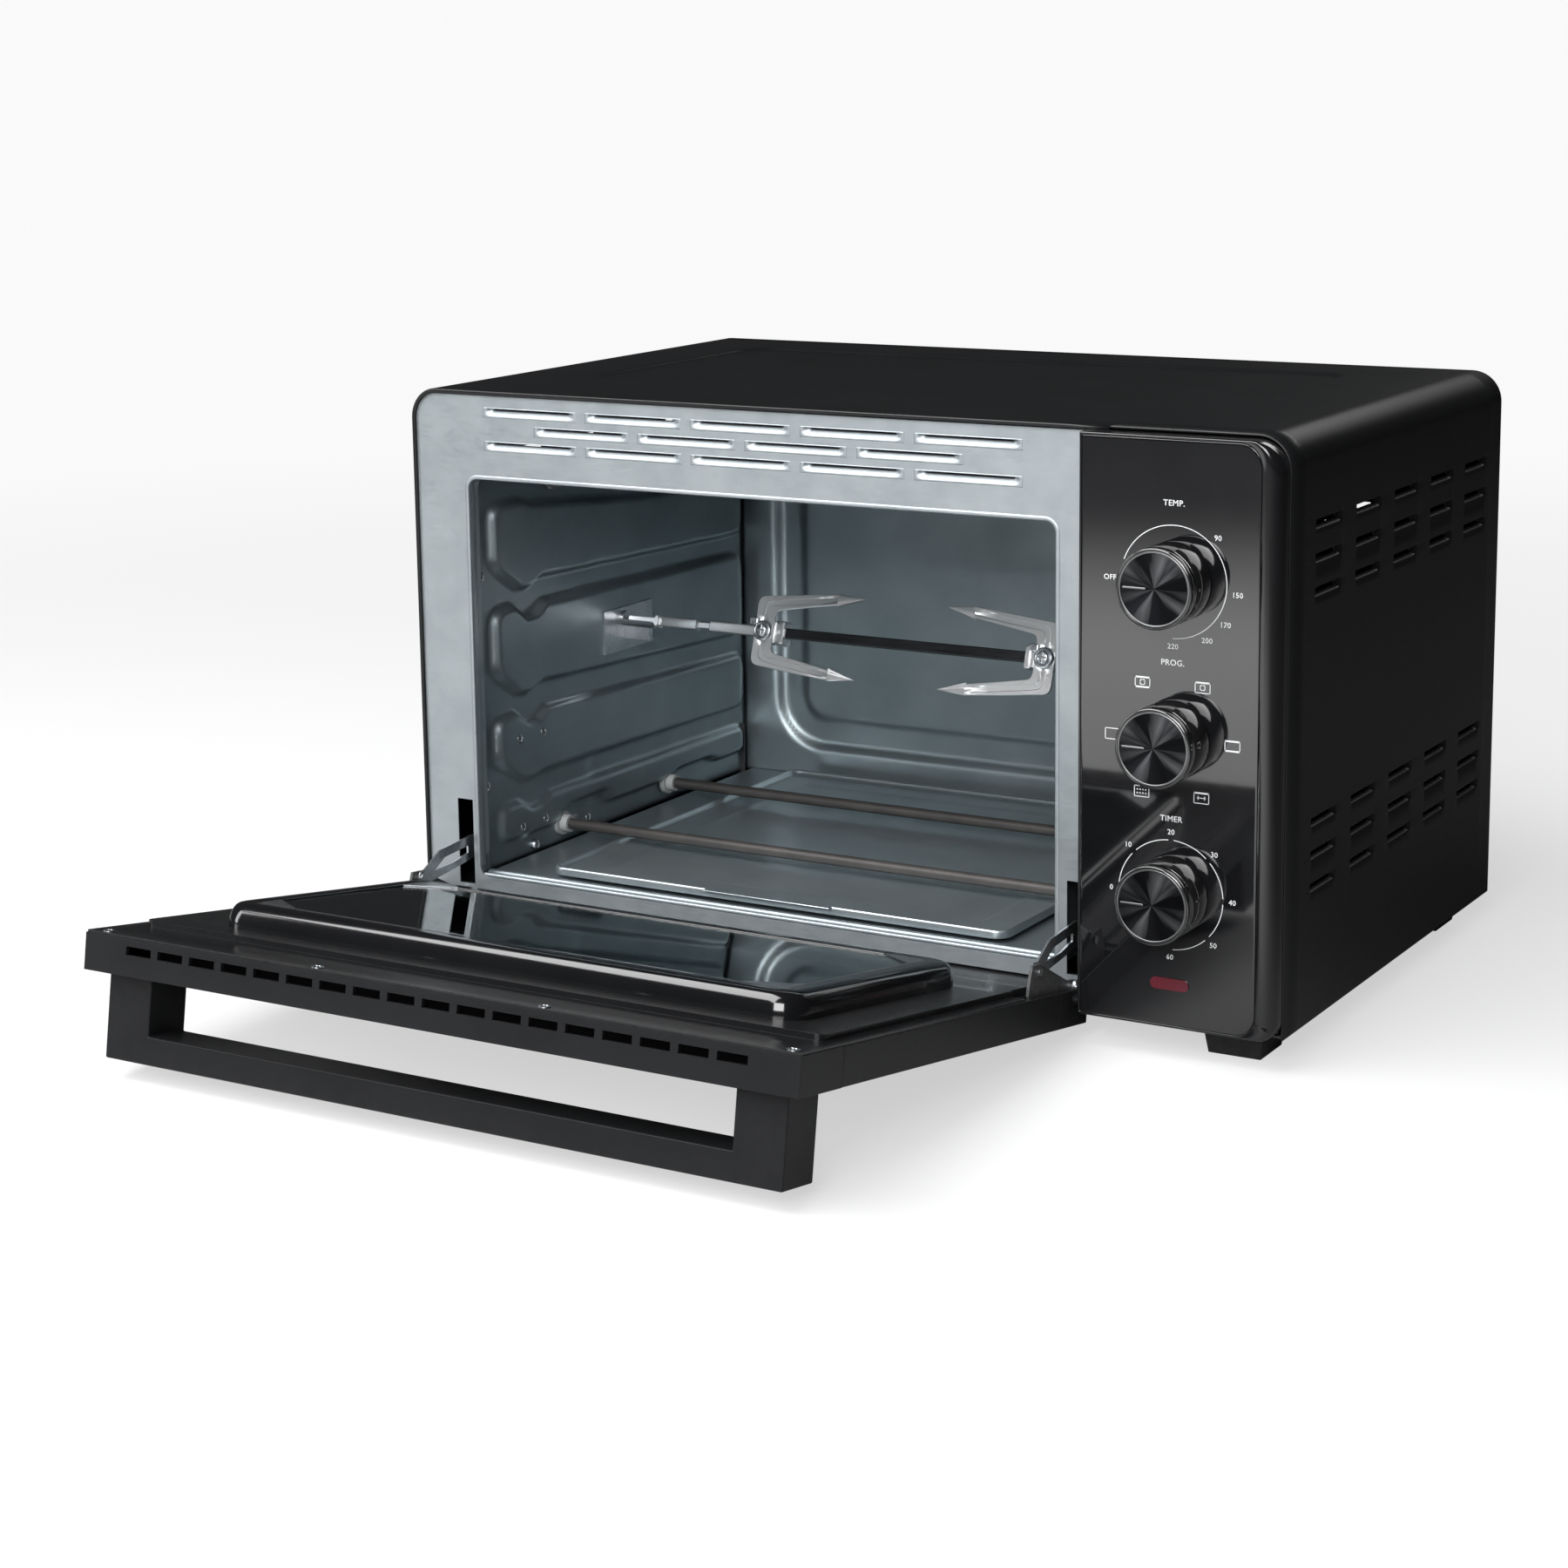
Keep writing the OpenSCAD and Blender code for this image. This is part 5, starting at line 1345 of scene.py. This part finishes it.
@dataclass
class Dial:
    """One knob: a gloss cap, a satin rim and a spun disc that turn with their control."""

    name: str
    height: float
    centre: float = 205.4
    radius: float = 20.0
    back: float = -11.9
    front: float = -35.15

    def cap(self) -> Patch:
        """Builds the cap from its profile, with a fine groove behind its front."""
        r, b, f = self.radius, self.back, self.front
        profile = [(0, b), (r - 0.9, b), (r - 0.25, b - 0.25), (r, b - 0.9), (r, f + 6.1),
                   (r - 0.12, f + 5.9), (r - 0.5, f + 5.75), (r - 0.5, f + 5.35), (r - 0.12, f + 5.2),
                   (r, f + 5.0), (r, f + 1.0), (r - 0.15, f + 0.4), (r - 0.6, f + 0.06),
                   (r - 1.15, f), (r - 1.45, f + 0.12), (r - 1.6, f + 0.5), (r - 1.6, f + 1.6),
                   (0, f + 1.6)]
        return lathe(profile, (self.centre, self.height), 96)

    def rim(self) -> Patch:
        """Builds the thin ring between the cap and the disc."""
        r, f = self.radius - 1.58, self.front + 0.22
        profile = [(r, f + 0.5), (r, f + 0.08), (r - 0.12, f), (r - 0.62, f), (r - 0.85, f + 0.16),
                   (r - 0.9, f + 0.5)]
        made = lathe(profile, (self.centre, self.height), 96)
        rows = len(profile)
        grid = made.points.reshape(rows, -1, 3)
        return Patch.grid(grid, (True, True))

    def disc(self) -> tuple[Patch, np.ndarray]:
        """Builds the dished disc and its spin coordinates.

        The dish falls by 0.35 mm with the square of the distance from the rim, and the first
        coordinate runs outwards while the second runs round, so that gloss streaks and the painted
        highlight streaks lie radially.

        Returns:
            The patch, and (u, v) for each corner of its faces.
        """
        r = (self.radius - 2.46) * np.linspace(0.012, 1, 9)
        f = self.front + 0.42
        profile = np.stack([r, f + 0.35 * (1 - (r / r[-1]) ** 2)], -1)
        made = lathe([tuple(p) for p in profile], (self.centre, self.height), 96)
        rows, turns = len(profile), 96
        i, j = np.meshgrid(np.arange(rows - 1), np.arange(turns), indexing="ij")
        u = np.stack([i, i + 1, i + 1, i], -1) / rows
        v = np.stack([j, j, j + 1, j + 1], -1) / turns
        return made, np.stack([u, v], -1).reshape(-1, 2)

    def pointer(self) -> Patch:
        """Builds the pointer, a low bar at nine o'clock on the disc."""
        x, z, f = self.centre, self.height, self.front
        return block((x - 16.4, f + 0.3, z - 0.45), (x - 4.5, f + 1.2, z + 0.45), 0.12)

    def build(self) -> None:
        """Builds and dresses the knob on its control's body."""
        body = f"{self.name}_control"
        Piece(f"{self.name}_cap", body, KNOB_GLOSS, "gloss_black", (f"{self.name}_knob",)).build(
            self.cap(), angle=35)
        Piece(f"{self.name}_rim", body, KNOB_RIM, "spun_disc").build(self.rim(), angle=50)
        patch, uv = self.disc()
        disc = Piece(f"{self.name}_disc", body, SPUN_DISC_PAINTED_GLINTS, "spun_disc", (f"{self.name}_knob_cap",))
        mesh = plain_mesh(CASE(patch.points), patch.quads.tolist(), disc.name)
        layer = mesh.uv_layers.new(name="spin")
        layer.data.foreach_set("uv", uv.astype(np.float32).ravel())
        mesh.update()
        crease(mesh, 60)
        obj = bpy.data.objects.new(disc.name, mesh)
        bpy.context.scene.collection.objects.link(obj)
        disc.hang(obj)
        Piece(f"{self.name}_pointer", body, KNOB_RIM, "gloss_black").build(self.pointer())


# ---- spit -----------------------------------------------------------------------------------------


@dataclass
class Spit:
    """The square spit and its two sliding forks, in axes on the spit's own line."""

    rest: float = 18.0
    start: float = -222.0
    end: float = 143.7
    side: float = 6.0
    bore: float = 3.2
    fork_at: tuple = (-131.0, 63.7)
    strap: float = 12.5
    plate_half: float = 0.75

    def shaft(self, x0: float, x1: float, neck: bool) -> Patch:
        """Builds part of the square bar with soft corners.

        Args:
            x0: Where it starts.
            x1: Where it ends.
            neck: Whether it has the pin, collar and waist of the left end.

        Returns:
            The patch.
        """
        h = self.side / 2
        square = loop((-h, -h, h, h), 0.7, 3)
        disc = square / np.hypot(*square.T)[:, None]
        rows = [(x0, square), (x1, square)]
        if neck:
            rows = [(self.start, disc * 1.2), (self.start + 1.2, disc * 2.5), (-202.4, disc * 2.5),
                    (-202.0, disc * 3.2), (-201.6, disc * 4.5), (-199.4, disc * 4.5),
                    (-199.0, disc * 3.4), (-197.6, disc * 3.0), (-196.0, square), (-173, square),
                    (-171.8, disc * 2.3), (-164.2, disc * 2.3), (-163, square), (x1, square)]
        path = np.array([(x, 0, 0) for x, _ in rows], float)
        one = np.ones((len(rows), 1))
        return sweep(path, one * [0, 1, 0], one * [0, 0, 1], np.stack([p for _, p in rows]))

    def plate(self) -> Patch:
        """Builds a fork's C-shaped plate as a ribbon between its outer and inner edges.

        The section is 1.5 mm thick and has a channel 1 mm deep and 2.6 mm wide along its
        middle, which fades out at the arrow heads and at the hub. The lower half is the upper
        half mirrored.

        Returns:
            The patch, with the fork's closed end at X 0 and its tips along +X.
        """
        outer = np.array([(70, 23.7), (66, 24.2), (60, 24.8), (54.8, 25.25), (53.3, 25.3),
                          (52.6, 25.25), (48, 24.85), (38, 23.9), (26, 22.75), (14, 21.55),
                          (8, 21.0), (4, 20.6), (1.6, 19.6), (0.4, 17.8), (0, 15.5), (0, 11),
                          (0, 7), (0, 0)])
        inner = np.array([(69.8, 23.4), (65.5, 22.0), (59, 19.9), (53.6, 18.2), (52.4, 17.8),
                          (53.2, 19.0), (48, 18.15), (38, 16.6), (27, 14.8), (18, 13.4),
                          (15.5, 12.9), (14.1, 12.3), (13.3, 11.5), (12.8, 10.2), (12.5, 8.8),
                          (12.5, 7.4), (12.5, 5.6), (12.5, 0)])
        deep = np.array([0, 0, 0, 0, 0, 0, 0.9, 1, 1, 1, 1, 1, 1, 1, 1, 1, 0.3, 0])
        roof = np.array([0, 0.15, 0.35, 0.5, 0.5, 0.4, 0, 0, 0, 0, 0, 0, 0, 0, 0, 0, 0, 0])
        outer, inner = (np.concatenate([e, (e * [1, -1])[-2::-1]]) for e in (outer, inner))
        deep, roof = (np.concatenate([e, e[-2::-1]])[:, None] for e in (deep, roof))
        middle, across = (outer + inner) / 2, inner - outer
        half = np.linalg.norm(across, axis=1)[:, None] / 2
        across = across / (2 * half)
        share = np.array([1.0, 0.93, 0.6, 0.38, 0.2])
        limit = np.array([9.0, 9.0, 2.1, 1.4, 0.7])
        step = np.minimum(half * share, limit)
        step[:, 1:2] = np.maximum(half - 0.28, half * 0.8)
        face = self.plate_half + np.concatenate(
            [0 * half - 0.3, 0 * half, 0.3 * roof, 0.6 * roof - 1.0 * deep, roof - 1.0 * deep], 1)
        low = 0 * half - self.plate_half
        widths = np.concatenate([-step, step[:, ::-1], half, -half], 1)
        rises = np.concatenate([face, face[:, ::-1], low, low], 1)
        rows = len(middle)
        y = -self.side / 2 - 1.8 + self.plate_half
        path = np.stack([middle[:, 0], np.full(rows, y), middle[:, 1]], -1)
        side = np.stack([across[:, 0], np.zeros(rows), across[:, 1]], -1)
        return sweep(path, side, np.zeros((rows, 3)) + [0, -1, 0], np.stack([widths, rises], -1))

    def hub(self) -> Patch:
        """Builds the hub behind the plate, with a waist before its end flange and a square bore.

        The outline runs out along X and comes back along the bore, so it closes on itself.
        """
        rows = [(0.7, 6.2), (1.2, 6.8), (13.4, 6.8), (13.9, 5.8), (15.2, 5.8), (15.7, 6.9),
                (18.4, 6.9), (19.0, 6.2)]
        bore = loop((-self.bore, -self.bore, self.bore, self.bore), 0.5, 3)
        outlines = [(x, loop((-3.5, -s, s, s), 1.2, 3)) for x, s in rows]
        outlines += [(19.0, bore), (0.7, bore)]
        points = np.stack([np.insert(o, 0, x, axis=1) for x, o in outlines])
        return Patch.grid(points, (True, True))

    def screw(self, lean: int) -> Patch:
        """Builds the thumbscrew in front of the plate: a boss, its slotted head and a wing.

        Args:
            lean: Which way along X the wing points, -1 or 1.

        Returns:
            The patch.
        """
        x = self.strap / 2
        boss = [(0, -4.7), (6.0, -4.7), (6.0, -6.5), (5.6, -7.1), (4.9, -7.4), (4.5, -7.2),
                (4.2, -6.7), (4.0, -7.1), (3.5, -8.1), (2.9, -8.5), (1.0, -8.6), (0, -8.6)]
        wing = sorted((x + 3.6 * lean, x + 9.2 * lean))
        bars = [block((x - 3.3, -8.9, -0.55), (x + 3.3, -8.3, 0.55), 0.15),
                block((x - 0.55, -8.85, -3.3), (x + 0.55, -8.3, 3.3), 0.15),
                block((wing[0], -7.4, 3.2), (wing[1], -5.5, 7.4), 0.5)]
        return together([lathe(boss, (x, 0), 32), *bars])

    def placed(self, patch: Patch, k: int) -> Patch:
        """Sets a fork's patch at its own place, the right one mirrored."""
        turn = np.array([1.0 if k == 0 else -1.0, 1.0, 1.0])
        made = Patch(patch.points * turn + [self.fork_at[k], 0, 0], patch.quads)
        return made if k == 0 else made.flipped()

    def build(self) -> None:
        """Builds and dresses the spit and the forks on their bodies."""
        place = spit_place(self.rest)
        Piece("spit_bar", "spit", BRIGHT_STEEL, "spit_steel", ("spit_shaft",)).build(
            self.shaft(0, self.fork_at[0] + 20, True), place, angle=35)
        Piece("spit_bar_dark", "spit", SPIT_DARK, "spit_steel").build(
            self.shaft(self.fork_at[0] + 19.9, self.end, False), place, angle=35)
        for k, side in enumerate(("left", "right")):
            body = f"fork_{side}_body"
            Piece(f"fork_{side}_plate", body, BRIGHT_STEEL, "bright_steel",
                  (f"fork_{side}",)).build(self.placed(self.plate(), k), place, angle=40)
            Piece(f"fork_{side}_hub", body, BRIGHT_STEEL, "bright_steel").build(
                self.placed(self.hub(), k), place, angle=40)
            Piece(f"fork_{side}_screw", body, ZINC_PARTS, "bright_steel",
                  (f"thumbscrew_{side}",)).build(
                self.placed(self.screw(-1 if k == 0 else 1), k), place, angle=40)


# ---- door -----------------------------------------------------------------------------------------


@dataclass
class Door:
    """The drop-down door in its own axes on the hinge: its ring, rails, handle and screws."""

    left: float = -257.8
    right: float = 153.0
    top: float = 283.0
    skin: float = 0.5
    face: float = -19.5
    land: float = 3.5
    ring: tuple = (-216.0, 68.0, 121.0, 234.5)
    ring_radius: float = 15.0
    rise: float = 16.0

    def window_ring(self) -> Patch:
        """Builds the window's ring: a profile of inset and height with a wide round shoulder."""
        x0, z0, x1, z1 = self.ring
        profile = [(0.0, 3.4), (0.0, 6.0), (0.3, 8.4), (0.9, 10.6), (1.7, 12.7), (2.8, 14.3),
                   (4.2, 15.35), (6.2, 15.9), (8.0, 16.0), (14.1, 16.0), (14.7, 15.85), (15.0, 15.3),
                   (15.0, 4.0)]
        outlines = [loop((x0 + t, z0 + t, x1 - t, z1 - t), max(self.ring_radius - t * 0.75, 3.5), 10)
                    for t, _ in profile]
        return nest(outlines, [h for _, h in profile], closed=True)

    def screws(self) -> Patch:
        """Builds the four screws along the door's upper edge."""
        made = []
        for k in range(4):
            x = self.left + 10.6 + k * (self.right - self.left - 17.6) / 3
            made.append(cross_screw((x, -self.skin - 0.1, self.top - 5), 3.1, 0.7, "y"))
        turned = together(made)
        return Patch(turned.points * [1, -1, 1], turned.quads).flipped()

    def build(self) -> None:
        """Builds and dresses the door."""
        Piece("window_ring", "door", RING_GLOSS, "gloss_black", ("door_window_ring",)).build(
            self.window_ring(), DOOR, angle=50)
        for name, node, finish, slot, width in (
                ("inner_skin", "door_inner_panel", SKIN_BLACK, "door_skin", 0.45),
                ("top_rail", "door_top_rail", RAIL_BLACK, "door_rail", 0.8),
                ("side_rails", "door_side_rails", RAIL_BLACK, "door_rail", 0.8),
                ("bottom_rail", "door_bottom_rail", RAIL_BLACK, "door_rail", 0.8),
                ("handle_bar", "door_handle", HANDLE_SATIN, "door_rail", 1.0),
                ("corner_clips", "glass_clips", ZINC_PARTS, "zinc_parts", 0.12)):
            Piece(name, "door", finish, slot, (node,)).eased(node, width)
        Piece("skin_screws", "door", ZINC_PARTS, "zinc_parts", ("door_screws",)).build(
            self.screws(), DOOR, shell=False, angle=35)


# ---- nodes that keep their own shape ------------------------------------------------------------

KEPT = {
    "back_panel": DARK_SHEET, "base_pan": DARK_SHEET, "front_frame": ZINC_FRONT,
    "chamber_right_wall": CHAMBER_STEEL, "chamber_top": CHAMBER_STEEL,
    "chamber_floor": CHAMBER_STEEL, "heater_rods": ROD_SHEATH, "heater_bushes": CERAMIC,
    "indicator_lens": RED_LENS, "indicator_lamp": AMBER_LAMP, "thermostat": CONTROL_BODY_SHADE_DARKENED,
    "function_switch": SWITCH_BODY, "timer_mechanism": ZINC_PARTS, "spit_motor": ZINC_PARTS,
    "fan_housing": CHAMBER_STEEL, "fan_motor": ZINC_PARTS, "spit_cradle": ZINC_PARTS,
    "feet": FOOT_PLASTIC, "case_screws": ZINC_PARTS, "hinge_seats": ZINC_PARTS,
    "door_springs": ZINC_PARTS, "wiring_harness": SLEEVE, "terminal_block": SWITCH_BODY,
    "cord_grommet": RUBBER, "door_glass_outer": OUTER_GLASS, "door_glass_inner": INNER_GLASS,
    "hinge_brackets": HINGE_BLACK, "hinge_pins": ZINC_PARTS, "hinge_lever_left": ZINC_PARTS,
    "hinge_lever_right": ZINC_PARTS, "drive_socket": ZINC_PARTS, "fan_blade": FAN_METAL,
}


def dress_nodes() -> None:
    """Gives every node that keeps its own shape its material."""
    for name, finish in KEPT.items():
        for place in frame["nodes"][name].material_slots:
            place.material = finish.material()
    LOG.info("dressed %d nodes", len(KEPT))


# ---- studio -------------------------------------------------------------------------------------


@dataclass
class Studio:
    """The camera, a pale sweep and soft lights."""

    eye: tuple = (816.9, -1409.7, 492.1)
    heading: float = 30.74
    pitch: float = 10.65
    roll: float = -0.77
    lens: float = 72.77
    shift: float = -0.1
    # Middle of the painted pool of light on the floor, in metres
    lit_spot: tuple = (-0.15, -0.72, 0.0)

    def axes(self) -> Matrix:
        """Gives the camera's turn, from its heading, pitch and roll."""
        a, e, r = (math.radians(v) for v in (self.heading, self.pitch, self.roll))
        ahead = Vector((-math.sin(a) * math.cos(e), math.cos(a) * math.cos(e), -math.sin(e)))
        right = ahead.cross(Vector((0, 0, 1))).normalized()
        up = right.cross(ahead)
        across = right * math.cos(r) + up * math.sin(r)
        upward = up * math.cos(r) - right * math.sin(r)
        return Matrix((across, upward, -ahead)).transposed()

    def camera(self) -> None:
        """Makes the camera."""
        data = bpy.data.cameras.new("view")
        data.sensor_width = 36.0
        data.lens = self.lens
        data.shift_y = self.shift
        data.clip_end = 50.0
        camera = bpy.data.objects.new("view", data)
        bpy.context.scene.collection.objects.link(camera)
        place = Matrix.Translation(Vector(CASE(np.array(self.eye))))
        camera.matrix_world = place @ self.axes().to_4x4()
        bpy.context.scene.camera = camera

    def floor(self) -> None:
        """Makes the floor, a wide round plane that looks pale and casts little light back outside a
        painted pool of light.
        """
        r = np.linspace(0, 14, 8)
        angle = np.arange(48) * 2 * math.pi / 48
        points = np.stack([r[:, None] * np.cos(angle), r[:, None] * np.sin(angle),
                           0 * r[:, None] + 0 * angle], -1)
        made = Patch.grid(points, (False, True))
        mesh = plain_mesh(made.points, made.quads.tolist(), "floor")
        weld(mesh, False)
        if mesh.polygons[-1].normal.z < 0:
            mesh.flip_normals()
        obj = bpy.data.objects.new("floor", mesh)
        bpy.context.scene.collection.objects.link(obj)
        obj.data.materials.append(self.paper())

    def paper(self) -> bpy.types.Material:
        """Makes the floor's material: matt, with a painted pool of light round lit_spot that fades to
        dark, and seen directly it is evenly pale.
        """
        made = bpy.data.materials.new("pale_floor")
        made.use_nodes = True
        tree = made.node_tree
        tree.nodes.clear()
        where = set_up(tree, "ShaderNodeTexCoord").outputs["Object"]
        bright = set_up(tree, "ShaderNodeVectorMath", operation="DISTANCE")
        tree.links.new(where, bright.inputs[0])
        bright.inputs[1].default_value = self.lit_spot
        # Painted pool of light: the matt colour is pale near lit_spot and dark further off, standing
        # in for light that falls only near the oven's front
        tone = set_up(tree, "ShaderNodeMapRange", Value=bright.outputs["Value"], From_Min=0.25,
                      From_Max=1.15, To_Min=0.85, To_Max=0.10)
        tone.interpolation_type = "SMOOTHSTEP"
        matt = set_up(tree, "ShaderNodeBsdfDiffuse", Color=tone.outputs["Result"])
        plain = set_up(tree, "ShaderNodeBsdfDiffuse", Color=(0.8, 0.8, 0.805, 1))
        pale = set_up(tree, "ShaderNodeEmission", Color=(1, 1, 1, 1), Strength=0.95)
        far = set_up(tree, "ShaderNodeVectorMath", operation="LENGTH")
        tree.links.new(where, far.inputs[0])
        share = set_up(tree, "ShaderNodeMapRange", Value=far.outputs["Value"], From_Min=0.5,
                       From_Max=2.4, To_Min=0.62, To_Max=1.0)
        share.interpolation_type = "SMOOTHSTEP"
        path = tree.nodes.new("ShaderNodeLightPath")
        seen = tree.nodes.new("ShaderNodeMixShader")
        tree.links.new(share.outputs["Result"], seen.inputs[0])
        tree.links.new(plain.outputs[0], seen.inputs[1])
        tree.links.new(pale.outputs[0], seen.inputs[2])
        mix = tree.nodes.new("ShaderNodeMixShader")
        tree.links.new(path.outputs["Is Camera Ray"], mix.inputs[0])
        tree.links.new(matt.outputs[0], mix.inputs[1])
        tree.links.new(seen.outputs[0], mix.inputs[2])
        out = tree.nodes.new("ShaderNodeOutputMaterial")
        tree.links.new(mix.outputs[0], out.inputs[0])
        return made

    def light(self, name: str, at: tuple, size: tuple, power: float) -> None:
        """Makes a soft box that looks at the oven's middle.

        Args:
            name: Its name.
            at: Where it stands, in metres from the oven's middle.
            size: Its width and height in metres.
            power: Its power in watts.
        """
        data = bpy.data.lights.new(name, "AREA")
        data.shape = "RECTANGLE"
        data.size, data.size_y = size
        data.energy = power
        obj = bpy.data.objects.new(name, data)
        bpy.context.scene.collection.objects.link(obj)
        place = Vector(at)
        aim = Vector((0, 0, 0.15)) - place
        obj.location = place
        obj.rotation_euler = aim.to_track_quat("-Z", "Y").to_euler()

    def sky(self) -> None:
        """Lights the scene evenly, and shows a near-white backdrop to the camera."""
        world = bpy.data.worlds.new("studio")
        bpy.context.scene.world = world
        world.use_nodes = True
        tree = world.node_tree
        tree.nodes.clear()
        out = tree.nodes.new("ShaderNodeOutputWorld")
        seen = set_up(tree, "ShaderNodeBackground", Color=(1, 1, 1, 1), Strength=0.95)
        cast = set_up(tree, "ShaderNodeBackground", Color=(0.93, 0.96, 1.0, 1), Strength=0.03)
        path = tree.nodes.new("ShaderNodeLightPath")
        mix = tree.nodes.new("ShaderNodeMixShader")
        tree.links.new(path.outputs["Is Camera Ray"], mix.inputs[0])
        tree.links.new(cast.outputs[0], mix.inputs[1])
        tree.links.new(seen.outputs[0], mix.inputs[2])
        tree.links.new(mix.outputs[0], out.inputs[0])

    def build(self) -> None:
        """Sets up the camera, the floor, the lights and the sky."""
        self.camera()
        self.floor()
        self.sky()
        self.light("overhead", (-0.7, -1.2, 2.0), (2.0, 1.5), 84)
        self.light("left_strip", (-2.4, -1.5, 1.0), (0.6, 1.5), 20)
        self.light("front_fill", (0.75, -2.7, 1.5), (1.8, 1.2), 90)
        self.light("rear_top", (0.5, 2.2, 1.6), (1.6, 0.4), 6)
        bpy.context.scene.view_settings.view_transform = "Standard"


def main() -> None:
    """Builds the studio and every sub-assembly."""
    logging.basicConfig(level=logging.INFO, format="%(name)s: %(message)s")
    sections = [Studio(), CaseShell(), FrontSheet(), Chamber(), ControlPanel(),
                Dial("temp", 227.0), Dial("program", 148.55), Dial("timer", 70.1), Spit(), Door()]
    for section in sections:
        section.build()
        LOG.info("%s is done", type(section).__name__)
    dress_nodes()


if __name__ == "__main__":
    main()
